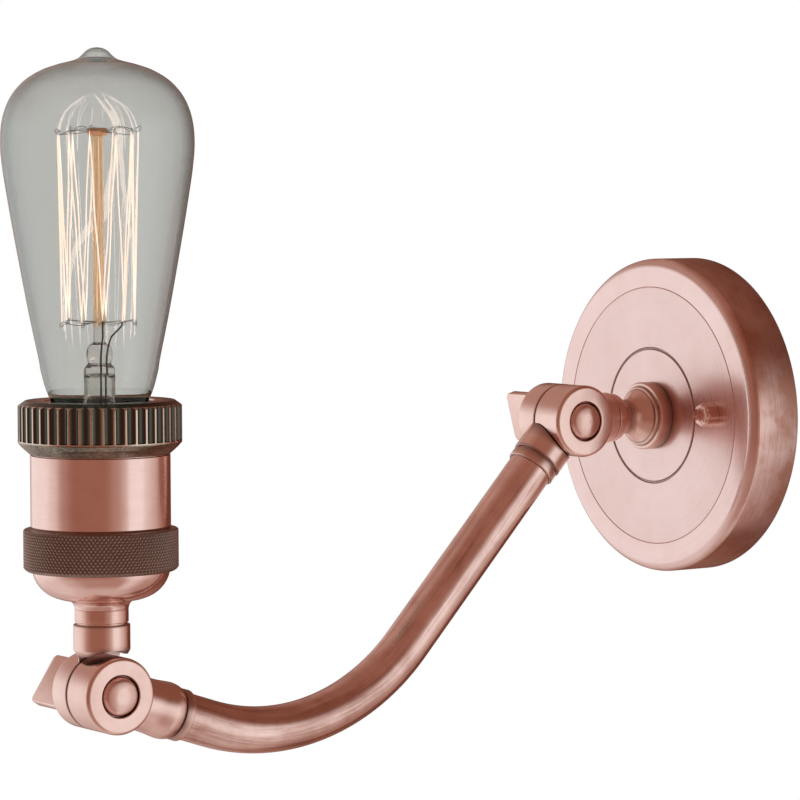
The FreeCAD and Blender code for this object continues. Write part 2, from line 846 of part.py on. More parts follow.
def socket_core():
    """Insulating body: foot, clamped flange and a sleeve round the screw shell."""
    flange_top = bowl_top + core_flange_t
    core = turned([
        (0, core_foot), (core_r - 4.0, core_foot), (core_r - 4.0, bowl_top), (bowl_r - 0.1, bowl_top),
        (bowl_r - 0.1, flange_top), (core_r, flange_top), (core_r, core_top), (core_bore_r, core_top),
        (core_bore_r, core_floor), (0, core_floor)])
    core = core.cut(rod(contact_r * 0.35, core_foot - 1, core_floor + 1))
    for side in (-1, 1):
        hole_x = side * terminal_lead_x
        hole_y = side * lead_pitch / 2.0
        core = core.cut(rod(lead_r + thread_gap, core_foot - 1, core_foot + lead_seat, hole_x, hole_y))
        x = side * terminal_x
        core = core.cut(rod(terminal_r + thread_gap, flange_top - 1, core_top + 1, x))
        core = core.cut(rod(terminal_head_r + thread_gap, core_top - terminal_sunk, core_top + 1, x))
    return on_lower(core)


def terminal_screws():
    """Two screws in the core that hold the leads' ends."""
    screws = []
    low = core_top - terminal_sunk
    for side in (-1, 1):
        screw = turned([
            (0, low - terminal_l), (terminal_r, low - terminal_l), (terminal_r, low),
            (terminal_head_r, low), (terminal_head_r, low + terminal_head_t), (0, low + terminal_head_t)])
        screws.append(moved(screw, side * terminal_x))
    return on_lower(Part.makeCompound(screws))


def screw_shell():
    """Thin threaded shell that holds the bulb's cap."""
    return on_lower(tube(screw_shell_r + screw_shell_wall, screw_shell_r, core_floor, screw_shell_top))


def centre_contact():
    """Sprung tongue in the middle of the core's floor, with its rivet through the core."""
    low = bulb_cap_low - bulb_button_t
    tongue = turned([
        (0, core_foot + 2.0), (contact_r * 0.3, core_foot + 2.0), (contact_r * 0.3, core_floor),
        (contact_r * 0.6, core_floor), (contact_r, low - contact_t), (contact_r, low), (0, low)])
    return on_lower(tongue)


def shade_ring():
    """Fluted ring: bevel below, hollow flutes with narrow crests that run out in the bevel
    above, and a lip inside."""
    bore = shell_thread_r + ring_gap
    lip = ring_top - ring_lip_t
    ring = turned([
        (bore, ring_low), (ring_low_r, ring_low), (ring_r, ring_bevel_top), (ring_r, ring_shoulder),
        (ring_top_r, ring_top), (ring_mouth_r, ring_top), (ring_mouth_r, lip), (bore, lip)])
    cutters = []
    reach = ring_r + flute_r - flute_deep
    for k in range(flute_count):
        angle = 2.0 * math.pi * k / flute_count
        cutters.append(rod(flute_r, flute_low, ring_top, reach * math.cos(angle), reach * math.sin(angle)))
    return on_lower(ring.cut(Part.makeCompound(cutters)))


def bulb_cap():
    """Cap shell, closed below but for the insulator's seat."""
    inner = bulb_cap_r - bulb_cap_wall
    low = bulb_cap_low + 3.0
    cap = turned([
        (bulb_collar_r, low), (bulb_cap_r - 0.8, low), (bulb_cap_r, low + 0.8), (bulb_cap_r, bulb_cap_top),
        (inner, bulb_cap_top), (inner, low + bulb_cap_wall), (bulb_collar_r, low + bulb_cap_wall)])
    return on_lower(cap)


def bulb_insulator():
    """Tapered glass insulator between cap and button."""
    low = bulb_cap_low
    high = bulb_cap_low + 3.0 + bulb_cap_wall
    body = turned([
        (0, low), (bulb_button_r, low), (bulb_collar_r, high - 1.0), (bulb_collar_r, high), (0, high)])
    return on_lower(body)


def bulb_button():
    """Centre contact of the bulb."""
    low = bulb_cap_low - bulb_button_t
    return on_lower(bevelled(rod(bulb_button_r, low, bulb_cap_low), 0.5, (bulb_button_r, low)))


def drawn_in(points, skin):
    """Outline points moved inwards by skin, square to the line between their neighbours."""
    inner = []
    last = len(points) - 1
    for k, (r, h) in enumerate(points):
        before = points[max(k - 1, 0)]
        after = points[min(k + 1, last)]
        run = math.hypot(after[0] - before[0], after[1] - before[1])
        inner.append((r - skin * (after[1] - before[1]) / run, h + skin * (after[0] - before[0]) / run))
    return inner


def glass_body(skin, round_sides):
    """Solid inside the glass, drawn in by skin: skirt, pear side and a pip whose ball is
    centred on the axis. The hip, crown and pip are arcs where round_sides asks for them."""
    neck, mouth, shoulder, side, hip, widest, turn_in, crown, top, foot = drawn_in([
        (bulb_neck_r, bulb_neck_h), bulb_mouth, bulb_shoulder, bulb_side, bulb_hip, bulb_widest,
        bulb_turn_in, bulb_crown, bulb_top, bulb_pip_foot], skin)
    low = bulb_skirt_low - skin
    ball = bulb_pip_ball_r - skin
    middle = bulb_pip_foot[1] + bulb_pip_h - bulb_pip_ball_r
    root, brow, tip = [
        (ball * math.cos(math.radians(turn)), middle + ball * math.sin(math.radians(turn)))
        for turn in (bulb_pip_low, (bulb_pip_low + 90.0) / 2.0, 90.0)]
    start = [(0, low), (bulb_neck_r - skin, low), neck, mouth, shoulder, side, hip]
    if round_sides:
        return turned(start + [widest + turn_in, crown + top, foot, root, brow + (0, tip[1])])
    return turned(start + [widest, turn_in, crown, top, foot, root, brow, (0, tip[1])])


def bulb_glass():
    """Hollow glass bulb with a sealed pip on top; its inner side is a few plain cones."""
    return on_lower(glass_body(0.0, True).cut(glass_body(bulb_glass_wall, False)))


def glass_stem():
    """Flared stem tube and its pinched press, with the slim rod above."""
    flare_r = bulb_neck_r - bulb_glass_wall - 0.3
    outer = turned([
        (0, stem_flare_low), (flare_r, stem_flare_low), (stem_tube_r, stem_flare_low + 5.5),
        (stem_tube_r, stem_tube_top - 1.5),
        (stem_press_r - 0.6, stem_tube_top), (stem_press_r, stem_tube_top + 2.5),
        (stem_press_r, stem_press_top - 2.0), (rod_r, stem_press_top),
        (rod_r, hub_h - hub_t / 2.0), (0, hub_h - hub_t / 2.0)])
    inner = turned([
        (0, stem_flare_low - 1), (flare_r - 1.4, stem_flare_low - 1), (flare_r - 1.4, stem_flare_low),
        (stem_tube_r - 1.0, stem_flare_low + 5.3),
        (stem_tube_r - 1.0, stem_tube_top - 2.5), (0, stem_tube_top - 2.5)])
    return on_lower(outer.cut(inner)).cut(lead_wires())


def hub_bead():
    """Bead at the top of the rod that holds the upper hooks."""
    low = hub_h - hub_t / 2.0
    high = hub_h + hub_t / 2.0
    bead = turned([
        (0, low), (hub_r - 0.8, low), (hub_r, hub_h), (hub_r - 0.8, high), (0, high)])
    return on_lower(bead)


def cage_point(k):
    """Corner k of the filament, which runs from hook to hook round the cage."""
    total = 2 * cage_hooks
    angle = 2.0 * math.pi * (k + 0.5) / total
    top = k % 2 == 1
    r = cage_top_r if top else cage_low_r
    return Vector(r * math.cos(angle), r * math.sin(angle), hub_h if top else cage_low)


def bar_between(start, end, r):
    """Thin round bar from one point to another."""
    return Part.makeCylinder(r, (end - start).Length, start, end - start)


def filament():
    """Squirrel-cage filament: straight strands between the upper and the lower hooks."""
    strands = []
    for k in range(2 * cage_hooks - 1):
        strands.append(bar_between(cage_point(k), cage_point(k + 1), filament_r))
    return on_lower(strands[0].multiFuse(strands[1:]))


def support_wires():
    """Hooks of the cage: upper ones from the bead, lower ones from the rod."""
    wires = []
    for k in range(2 * cage_hooks):
        corner = cage_point(k)
        out = Vector(corner.x, corner.y, 0).normalize()
        top = k % 2 == 1
        root = out * (hub_r if top else rod_r)
        root.z = corner.z
        if k > 0:
            wires.append(bar_between(root, corner - out * (filament_r + support_r + 0.05), support_r))
    return on_lower(Part.makeCompound(wires))


def lead_wires():
    """Two stiff wires from the press to the ends of the filament."""
    wires = []
    last = 2 * cage_hooks - 1
    for k, side in ((0, 1), (last - 1, -1)):
        corner = cage_point(k)
        root = Vector(stem_press_r * 0.55, side * 0.9, stem_press_top - 3.0)
        knee = Vector(stem_press_r + 0.8, side * 1.6, cage_low - 4.5)
        end = Vector(corner.x * 0.94, corner.y * 0.94, cage_low - 0.8)
        wires.append(bar_between(root, knee, lead_wire_r).fuse(bar_between(knee, end, lead_wire_r)))
    return on_lower(Part.makeCompound(wires))


pieces = {
    "canopy": canopy(),
    "mounting_strap": mounting_strap(),
    "canopy_studs": canopy_studs(),
    "stud_nuts": stud_nuts(),
    "cap_nuts": cap_nuts(),
    "ground_screw": ground_screw(),
    "lock_washer": lock_washer(),
    "lock_nut": lock_nut(),
    "nozzle_nipple": nozzle_nipple(),
    "nozzle": nozzle(),
    "supply_leads": supply_leads(),
    "upper_knuckle_wall": upper_knuckle_wall(),
    "upper_pivot_bolt": pivot_bolt(wall_tilt, upper),
    "upper_friction_washer": friction_washer(upper),
    "upper_key_washer": key_washer(upper),
    "upper_thumb_key": thumb_key(upper_key_tilt, upper, upper_key_tab_to),
    "upper_knuckle_arm": upper_knuckle_arm(),
    "upper_collar": upper_collar(),
    "arm_tube": arm_tube(),
    "arm_leads": arm_leads(),
    "lower_collar": lower_collar(),
    "lower_knuckle_arm": lower_knuckle_arm(),
    "lower_pivot_bolt": pivot_bolt(arm_low_tilt, lower),
    "lower_friction_washer": friction_washer(lower),
    "lower_key_washer": key_washer(lower),
    "lower_thumb_key": thumb_key(lower_key_tilt, lower, lower_key_tab_to),
    "lower_knuckle_socket": lower_knuckle_socket(),
    "stem_nipple": stem_nipple(),
    "neck_ring": neck_ring(),
    "bowl": bowl(),
    "bowl_nut": bowl_nut(),
    "socket_leads": socket_leads(),
    "knurled_band": knurled_band(),
    "socket_shell": socket_shell(),
    "socket_core": socket_core(),
    "terminal_screws": terminal_screws(),
    "screw_shell": screw_shell(),
    "centre_contact": centre_contact(),
    "shade_ring": shade_ring(),
    "bulb_cap": bulb_cap(),
    "bulb_insulator": bulb_insulator(),
    "bulb_button": bulb_button(),
    "bulb_glass": bulb_glass(),
    "glass_stem": glass_stem(),
    "hub_bead": hub_bead(),
    "filament": filament(),
    "support_wires": support_wires(),
    "lead_wires": lead_wires(),
}

os.makedirs("parts", exist_ok=True)
for name, shape in pieces.items():
    shape.exportStep("parts/" + name + ".step")
    box = shape.BoundBox
    print("%-22s solids %2d volume %9.1f valid %s  x %.1f %.1f  y %.1f %.1f  z %.1f %.1f" % (
        name, len(shape.Solids), shape.Volume, shape.isValid(),
        box.XMin, box.XMax, box.YMin, box.YMax, box.ZMin, box.ZMax))
print("upper swivel", upper, "lower swivel", lower)
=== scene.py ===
import json
import math

import bmesh
import bpy
import numpy as np
from mathutils import Matrix, Vector


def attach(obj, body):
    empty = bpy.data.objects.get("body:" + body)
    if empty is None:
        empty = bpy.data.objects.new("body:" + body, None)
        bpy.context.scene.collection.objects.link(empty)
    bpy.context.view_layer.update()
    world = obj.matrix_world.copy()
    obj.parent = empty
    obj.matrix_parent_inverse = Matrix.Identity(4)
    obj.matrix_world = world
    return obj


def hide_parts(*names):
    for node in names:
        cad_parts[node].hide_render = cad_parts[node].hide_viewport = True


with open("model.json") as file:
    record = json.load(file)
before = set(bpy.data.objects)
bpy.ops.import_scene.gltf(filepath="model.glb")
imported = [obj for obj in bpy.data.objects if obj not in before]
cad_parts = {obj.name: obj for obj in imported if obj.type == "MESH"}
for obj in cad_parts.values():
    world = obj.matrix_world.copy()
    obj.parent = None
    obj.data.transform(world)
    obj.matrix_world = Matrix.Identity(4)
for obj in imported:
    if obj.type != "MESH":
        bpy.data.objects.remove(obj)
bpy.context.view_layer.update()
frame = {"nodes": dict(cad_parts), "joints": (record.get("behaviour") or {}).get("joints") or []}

# Sizes are written in millimetres and turned to metres where a surface is made.
MM = 0.001

# Hole for a threaded nipple, the same in the plate, the nozzle, the neck ring and the bowl
hole_r = 5.05

# Wall plate and what stands on its face
plate_r = 58.1
plate_depth = 21.0
plate_wall = 1.2
plate_bevel_w = 2.2
plate_bevel_h = 2.6
plate_crown = 0.25
groove_r = 24.85
groove_w = 1.1
groove_deep = 0.5
groove_slant = 0.2
rim_groove_r = 47.6
rim_groove_w = 0.45
rim_groove_deep = 0.28
stud_at = (34.87, 2.01)
cap_nut_r = 4.3
cap_nut_l = 5.8
cap_nut_crown_r = 2.0
cap_nut_lobes = 8
lobe_dip = 0.09

# Nozzle, heights above the plate's face
disc_r = 12.45
disc_h = 5.3
lip_h = 1.2
neck_h = 13.6
nozzle_h = 21.3
nozzle_end_r = 8.9

# Swivels, with their stubs' lengths and reliefs' radii counted from the pivot
barrel_r = 13.0
barrel_right = 12.5
barrel_left = -12.0
barrel_edge_r = 1.4
right_inner = -1.2
left_inner = -1.8
split_edge_r = 0.35
recess_r = 7.1
recess_deep = 2.0
bolt_head_r = 6.75
bolt_r = 2.5
bolt_tip = -16.4
relief = 13.35
low_relief = 14.8
stem_relief = 15.0
relief_l = 40.0
stub_from = 4.0
stub_r = 9.3
stub_side = 14.6
wall_stub_l = 19.1
spigot_r = 6.85
spigot_l = 11.5
low_spigot_end = 40.0
stem_r = 9.5
stem_waist_r = 8.0
stem_top = 23.2

# Thumb keys, with their tilts in degrees
tab_from = 14.0
tab_thick = 3.5
tab_wide = 18.3
tab_corner_r = 2.0
tab_edge_r = 0.5
upper_tab_to = 31.1
lower_tab_to = 38.5
upper_tab_tilt = 14.5
lower_tab_tilt = -33.0
hub_r = 6.0
hub_face = -12.6
hub_end = -17.2

# Arm, with its runs and stubs counted from the pivots
tube_r = 8.1
tube_wall = 1.2
upper_slope = math.radians(47.3)
lower_slope = math.radians(18.8)
upper_run = 104.5
lower_run = 44.0
bend_r = 78.0
arm_stub_l = 19.6
low_stub_l = 28.5
low_stub_r = 9.2
collar_gap = 0.4
collar_w = 3.6
collar_r = 8.9
collar_fit = 0.02

# Lampholder and ring, heights above the lower swivel
neck_low_r = 8.5
neck_step = 23.9
neck_r = 9.0
neck_top = 28.4
bowl_r = 23.0
bowl_wall = 1.0
bowl_top = 47.0
shell_r = 23.35
shell_wall = 1.0
shell_lip_r = 23.0
shell_low = 50.0
shell_shoulder = 56.2
shell_step = 79.9
shell_thread_r = 22.5
shell_top = 94.6
band_inner_r = 23.05
band_r = 25.87
band_low = 41.3
band_top = 55.2
knurl_count = 116
knurl_climb = 1.92
knurl_deep = 0.36
knurl_row = 0.16
ring_low = 80.2
ring_foot_r = 22.6
ring_bevel_top = 84.0
ring_shoulder = 96.3
ring_top = 98.0
ring_r = 27.3
ring_top_r = 24.9
mouth_r = 18.0
mouth_low = 95.8
flute_count = 45
flute_low = 84.9
flute_run_in = 0.24
flute_r = 1.9
flute_deep = 0.75
crest_worn = 0.16

# Bulb, heights above the lower swivel
glass_wall = 0.8
rod_r = 1.9
rod_top = 185.7
hub_bead_r = 3.7
hub_bead_top = 188.3
cage_corners = 22
cage_top = 186.4
cage_top_r = 13.5
cage_low = 124.5
cage_low_r = 12.3
filament_r = 0.23
strand_wander = 0.22
hook_r = 0.11
bead_hook_from = (3.6, 187.0)
rod_hook_from = (1.7, 124.0)
lead_r = 0.3

joint_at = {joint["name"]: np.array(joint["pos_m"]) for joint in frame["joints"] if "pos_m" in joint}
UPPER = joint_at["upper_swivel"]
LOWER = joint_at["lower_swivel"]
WALL = np.zeros(3)
X = np.array([1.0, 0.0, 0.0])
Y = np.array([0.0, 1.0, 0.0])
Z = np.array([0.0, 0.0, 1.0])
ARM_OUT = np.array([0.0, -math.cos(upper_slope), -math.sin(upper_slope)])
ARM_END = np.array([0.0, -math.cos(lower_slope), math.sin(lower_slope)])


def basis(centre, along):
    """Centre, two directions square to the axis, and the axis of a turned piece; the first
    direction is X where the axis isn't X itself."""
    first = Y if abs(along[0]) > 0.9 else X
    return centre, first, np.cross(along, first), along


def corner_line(corners, steps=5):
    """Outline through (radius, height, rounding) corners in millimetres: each rounded
    corner becomes the arc of that radius tangent to both of its lines, smaller where a line
    is short. A point on a straight side makes a ring that keeps the side's shading even."""
    points = []
    last = len(corners) - 1
    for k, (r, h, rounding) in enumerate(corners):
        here = np.array([r, h], float)
        if rounding <= 0 or k in (0, last):
            points.append(here)
            continue
        back = np.array(corners[k - 1][:2], float) - here
        ahead = np.array(corners[k + 1][:2], float) - here
        back_l = np.linalg.norm(back)
        ahead_l = np.linalg.norm(ahead)
        back /= back_l
        ahead /= ahead_l
        half = math.acos(max(-1.0, min(1.0, float(back @ ahead)))) / 2.0
        reach = min(rounding / math.tan(half), 0.49 * back_l, 0.49 * ahead_l)
        radius = reach * math.tan(half)
        middle = (back + ahead) / np.linalg.norm(back + ahead)
        centre = here + middle * radius / math.sin(half)
        start = here + back * reach - centre
        sweep = math.pi - 2.0 * half
        turn = math.copysign(1.0, start[0] * (here - centre)[1] - start[1] * (here - centre)[0])
        for t in np.linspace(0.0, sweep * turn, steps + 1):
            c, s = math.cos(t), math.sin(t)
            points.append(centre + np.array([c * start[0] - s * start[1], s * start[0] + c * start[1]]))
    return np.array(points)


def smooth_line(points, steps=8):
    """Outline in millimetres that runs smoothly through its points, as Catmull-Rom cubics."""
    p = np.array(points, float)
    ends = np.vstack([2 * p[0] - p[1], p, 2 * p[-1] - p[-2]])
    t = np.linspace(0.0, 1.0, steps, endpoint=False)[:, None]
    spans = []
    for k in range(len(p) - 1):
        a, b, c, d = ends[k:k + 4]
        spans.append(0.5 * (2 * b + (c - a) * t + (2 * a - 5 * b + 4 * c - d) * t ** 2
                            + (3 * b - a - 3 * c + d) * t ** 3))
    return np.vstack(spans + [p[-1:]])


def linked(name, data):
    """New object of a mesh or a camera, in the scene."""
    obj = bpy.data.objects.new(name, data)
    bpy.context.collection.objects.link(obj)
    return obj


def object_of(name, shape):
    """New object of a bmesh, which is freed."""
    mesh = bpy.data.meshes.new(name)
    shape.to_mesh(mesh)
    shape.free()
    return linked(name, mesh)


def mesh_object(name, vertices, faces):
    """New object of this mesh, welded, with its faces turned outwards and smooth."""
    mesh = bpy.data.meshes.new(name)
    mesh.from_pydata(np.asarray(vertices).reshape(-1, 3).tolist(), [], np.asarray(faces).tolist())
    obj = linked(name, mesh)
    tidy(obj)
    return obj


def tidy(obj, sharp=38.0):
    """Weld doubles, drop faces with no area, turn faces outwards and smooth the shading
    but for edges sharper than the angle."""
    shape = bmesh.new()
    shape.from_mesh(obj.data)
    bmesh.ops.remove_doubles(shape, verts=shape.verts, dist=2e-7)
    bmesh.ops.dissolve_degenerate(shape, dist=1e-7, edges=shape.edges)
    bmesh.ops.recalc_face_normals(shape, faces=shape.faces)
    limit = math.radians(sharp)
    for face in shape.faces:
        face.smooth = True
    for edge in shape.edges:
        if len(edge.link_faces) == 2:
            edge.smooth = edge.calc_face_angle(0.0) < limit
    shape.to_mesh(obj.data)
    shape.free()


def grid_faces(rows, columns, closed):
    """Quads of a grid whose rows are rings of points: each point with the next in its ring
    and in its column, and the last ring with the first where the grid is closed."""
    i = np.arange(rows if closed else rows - 1)
    i, j = np.meshgrid(i, np.arange(columns), indexing="ij")
    up = (i + 1) % rows
    on = (j + 1) % columns
    quads = [i * columns + j, up * columns + j, up * columns + on, i * columns + on]
    return np.stack(quads, -1).reshape(-1, 4)


def mark(obj, name, values, kind="FLOAT"):
    """Store one value or vector for each vertex."""
    attribute = obj.data.attributes.new(name, kind, "POINT")
    key = "vector" if kind == "FLOAT_VECTOR" else "value"
    attribute.data.foreach_set(key, np.asarray(values, np.float32).ravel())


def points_of(obj):
    """All vertices of a piece as one array, in metres."""
    points = np.zeros(len(obj.data.vertices) * 3)
    obj.data.vertices.foreach_get("co", points)
    return points.reshape(-1, 3)


def local(obj, where):
    """Radius, turn and height of each vertex about a basis, in millimetres and radians."""
    centre, a, b, c = where
    points = (points_of(obj) - centre) / MM
    u, v, h = points @ a, points @ b, points @ c
    return np.hypot(u, v), np.arctan2(v, u), h


def mark_turn(obj, where):
    """Store (cos turn, sin turn, radius + height) as the vector that brushed lines follow."""
    r, t, h = local(obj, where)
    mark(obj, "turn", np.stack([np.cos(t), np.sin(t), r + h], -1), "FLOAT_VECTOR")


def soil_and_shade(obj, *places):
    """Store grime and painted shade for each vertex, from (basis, spots) pairs: crevice dirt together
    with shade painted into creases, gaps and recesses. A spot is (radius, height, reach, strength): its
    darkening is full to a fifth of its reach and fades out a fifth past it."""
    dirt_and_shade = 0.0
    for where, spots in places:
        r, _, h = local(obj, where)
        for spot_r, spot_h, reach, strength in spots:
            away = np.hypot(r - spot_r, h - spot_h) / reach
            dirt_and_shade = np.maximum(dirt_and_shade, strength * np.clip(1.2 - away, 0.0, 1.0))
    mark(obj, "grime_and_shade", dirt_and_shade)
    return obj


def turned(name, outline, where, sides=128, wave=None):
    """Surface of revolution of an outline (radius, height) about the axis. The outline
    closes on itself unless an end lies on the axis, and wave gives what the radius gains
    with turn and height."""
    centre, a, b, c = where
    line = np.asarray(outline, float)
    t = np.linspace(0.0, 2.0 * math.pi, sides, endpoint=False)[None, :, None]
    r = line[:, 0][:, None, None]
    h = line[:, 1][:, None, None]
    if wave is not None:
        r = r + wave(t, r, h)
    points = centre + MM * (r * np.cos(t) * a + r * np.sin(t) * b + h * c)
    closed = line[0, 0] > 1e-6 and line[-1, 0] > 1e-6
    obj = mesh_object(name, points, grid_faces(len(line), sides, closed))
    mark_turn(obj, where)
    return obj


def piped(name, path, steady, r, sides=16, inner=None):
    """Round bar or tube along a path in metres: rings square to the path, turned from one
    steady direction. A bar's ends are drawn to a point; a tube has an inner wall and stores
    its turn and its length so far for the brushed lines."""
    path = np.asarray(path, float)
    run = np.gradient(path, axis=0)
    run /= np.linalg.norm(run, axis=1)[:, None]
    steady = np.broadcast_to(np.asarray(steady, float), path.shape)
    side = np.cross(run, steady)
    side /= np.linalg.norm(side, axis=1)[:, None]
    up = np.cross(side, run)
    t = np.linspace(0.0, 2.0 * math.pi, sides, endpoint=False)[None, :, None]
    ring = np.cos(t) * side[:, None] + np.sin(t) * up[:, None]
    outer = path[:, None] + MM * r * ring
    if not inner:
        grid = np.vstack([path[:1, None] + 0 * ring[:1], outer, path[-1:, None] + 0 * ring[-1:]])
        return mesh_object(name, grid, grid_faces(len(grid), sides, False))
    grid = np.vstack([outer, (path[:, None] + MM * inner * ring)[::-1]])
    obj = mesh_object(name, grid, grid_faces(len(grid), sides, True))
    length = np.concatenate([[0.0], np.cumsum(np.linalg.norm(np.diff(path, axis=0), axis=1))]) / MM
    points = points_of(obj)
    near = np.argmin(((points[:, None] - path[None]) ** 2).sum(-1), axis=1)
    away = points - path[near]
    u = (away * side[near]).sum(1)
    v = (away * up[near]).sum(1)
    n = np.hypot(u, v) + 1e-12
    mark(obj, "turn", np.stack([u / n, v / n, length[near]], -1), "FLOAT_VECTOR")
    return obj


def worked(obj, tool, how):
    """Join or cut one closed solid with another and keep the result as plain mesh."""
    step = obj.modifiers.new("work", "BOOLEAN")
    step.operation = how
    step.solver = "EXACT"
    step.object = tool
    bpy.context.view_layer.update()
    made = bpy.data.meshes.new_from_object(obj.evaluated_get(bpy.context.evaluated_depsgraph_get()))
    obj.modifiers.clear()
    obj.data = made
    bpy.data.objects.remove(tool, do_unlink=True)
    return obj


def finished(obj, body, material, slot_name, *nodes):
    """Give a piece its material and the body it rides on, and hide the nodes it stands in for. Its slot
    name is not used.
    """
    obj.data.materials.clear()
    obj.data.materials.append(material)
    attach(obj, body)
    if nodes:
        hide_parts(*nodes)
    return obj


def group_socket(tree, name, kind, out=False, value=None):
    """New socket of a shader group."""
    socket = tree.interface.new_socket(name=name, in_out="OUTPUT" if out else "INPUT", socket_type=kind)
    if value is not None:
        socket.default_value = value
    return socket


class Nodes:
    """Short way to add and link the nodes of one tree."""

    def __init__(self, tree):
        self.tree = tree

    def add(self, kind, **values):
        """New node with these settings."""
        node = self.tree.nodes.new(kind)
        for key, value in values.items():
            setattr(node, key, value)
        return node

    def put(self, socket, value):
        """Link a socket into another one, or set its value."""
        if isinstance(value, bpy.types.NodeSocket):
            self.tree.links.new(value, socket)
        else:
            socket.default_value = value

    def maths(self, what, a, b=None, c=None, clamp=False):
        """One sum of numbers or sockets."""
        node = self.add("ShaderNodeMath", operation=what, use_clamp=clamp)
        for socket, value in zip(node.inputs, (a, b, c)):
            if value is not None:
                self.put(socket, value)
        return node.outputs[0]

    def mix(self, share, a, b):
        """Colour that goes from a to b with the share."""
        node = self.add("ShaderNodeMix", data_type="RGBA")
        self.put(node.inputs["Factor"], share)
        self.put(node.inputs["A"], a)
        self.put(node.inputs["B"], b)
        return node.outputs["Result"]

    def noise(self, vector, scale, detail=3.0, rough=0.5):
        """Noise over a vector, from 0 to 1."""
        node = self.add("ShaderNodeTexNoise")
        self.put(node.inputs["Vector"], vector)
        self.put(node.inputs["Scale"], scale)
        self.put(node.inputs["Detail"], detail)
        self.put(node.inputs["Roughness"], rough)
        return node.outputs["Fac"]

    def ramp(self, value, low, high, low_to=0.0, high_to=1.0):
        """Value that goes evenly from low_to to high_to between low and high."""
        node = self.add("ShaderNodeMapRange", clamp=True)
        for key, what in (("Value", value), ("From Min", low), ("From Max", high),
                          ("To Min", low_to), ("To Max", high_to)):
            self.put(node.inputs[key], what)
        return node.outputs["Result"]

    def stretched(self, vector, x, y, z):
        """Vector with each direction scaled."""
        node = self.add("ShaderNodeVectorMath", operation="MULTIPLY")
        self.put(node.inputs[0], vector)
        self.put(node.inputs[1], (x, y, z))
        return node.outputs[0]

    def place(self):
        """Place on the piece, in metres."""
        return self.add("ShaderNodeTexCoord").outputs["Object"]

    def stored(self, name, kind="Fac"):
        """Value or vector stored on the piece's vertices."""
        return self.add("ShaderNodeAttribute", attribute_name=name).outputs[kind]

    def relief(self, shader, height, depth, strength):
        """Give the shader a fine relief."""
        bump = self.add("ShaderNodeBump")
        self.put(bump.inputs["Distance"], depth)
        self.put(bump.inputs["Strength"], strength)
        self.put(bump.inputs["Height"], height)
        self.put(shader.inputs["Normal"], bump.outputs["Normal"])


WHITE = (1.0, 1.0, 1.0, 1.0)
# Dark brown for grime and for shade painted into creases, gaps and recesses
GRIME_AND_SHADE = (0.10, 0.055, 0.045, 1.0)


def antique_group():
    """Antique plating: broad tone drift, small darker patches, fine brushed lines read from
    a second, stretched vector, and dark grime with painted shade in the hollows and gaps. Puts out
    colour, roughness and height."""
    tree = bpy.data.node_groups.new("antique_plating", "ShaderNodeTree")
    for name, kind, value in (
            ("Place", "NodeSocketVector", None), ("Lines", "NodeSocketVector", None),
            ("Light", "NodeSocketColor", (0.8, 0.5, 0.4, 1)),
            ("Dark", "NodeSocketColor", (0.4, 0.2, 0.15, 1)),
            ("Patina", "NodeSocketFloat", 0.4), ("Brushing", "NodeSocketFloat", 0.5),
            ("Polish", "NodeSocketFloat", 0.25), ("Grime_And_Shade", "NodeSocketFloat", 0.0)):
        group_socket(tree, name, kind, value=value)
    for name, kind in (("Colour", "NodeSocketColor"), ("Roughness", "NodeSocketFloat"),
                       ("Height", "NodeSocketFloat")):
        group_socket(tree, name, kind, out=True)
    n = Nodes(tree)
    given = n.add("NodeGroupInput").outputs
    drift = n.noise(given["Place"], 34.0, 3.0, 0.55)
    patches = n.noise(given["Place"], 150.0, 4.0, 0.6)
    lines = n.noise(given["Lines"], 1.0, 3.0, 0.65)
    tone = n.maths("ADD", n.ramp(drift, 0.35, 0.72), n.ramp(patches, 0.48, 0.8, 0.0, 0.5))
    streak = n.maths("MULTIPLY", n.ramp(lines, 0.45, 0.8), given["Brushing"])
    share = n.maths("MULTIPLY", n.maths("ADD", tone, streak), given["Patina"], clamp=True)
    # Grime and painted shade from the stored darkening, broken up a little by the patches
    dirt_and_shade = n.maths("MULTIPLY", given["Grime_And_Shade"], n.ramp(patches, 0.2, 0.7, 1.0, 0.7))
    rough = n.maths("MULTIPLY_ADD", share, 0.12, n.maths("MULTIPLY_ADD", dirt_and_shade, 0.25, given["Polish"]))
    out = n.add("NodeGroupOutput").inputs
    n.put(out["Colour"], n.mix(dirt_and_shade, n.mix(share, given["Light"], given["Dark"]), GRIME_AND_SHADE))
    n.put(out["Roughness"], n.maths("MULTIPLY_ADD", n.ramp(lines, 0.3, 0.7), 0.06, rough))
    n.put(out["Height"], n.maths("MULTIPLY", lines, given["Brushing"]))
    return tree


antique = antique_group()


def start_material(name):
    """New node material with its Principled shader."""
    material = bpy.data.materials.new(name)
    material.use_nodes = True
    n = Nodes(material.node_tree)
    shader = material.node_tree.nodes["Principled BSDF"]
    return material, n, shader


def copper(name, light, dark, patina, polish, lines, brushing=0.5, along="turn", depth=0.00001):
    """Antique copper: a metal whose colour, gloss and fine relief come from the plating
    group; brushed lines follow the piece's own turn vector or its place."""
    material, n, shader = start_material(name)
    place = n.place()
    base = n.stored("turn", "Vector") if along == "turn" else place
    group = n.add("ShaderNodeGroup", node_tree=antique)
    for key, value in (("Place", place), ("Lines", n.stretched(base, *lines)),
                       ("Light", light), ("Dark", dark),
                       # Patina gains the stored patina and painted wall shade, and the grime carries
                       # painted shade too
                       ("Patina", n.maths("ADD", n.stored("patina_and_wall_shade"), patina)),
                       ("Brushing", brushing), ("Polish", polish), ("Grime_And_Shade", n.stored("grime_and_shade"))):
        n.put(group.inputs[key], value)
    n.put(shader.inputs["Metallic"], 1.0)
    n.put(shader.inputs["Base Color"], group.outputs["Colour"])
    n.put(shader.inputs["Roughness"], group.outputs["Roughness"])
    n.relief(shader, group.outputs["Height"], depth, 0.6)
    return material


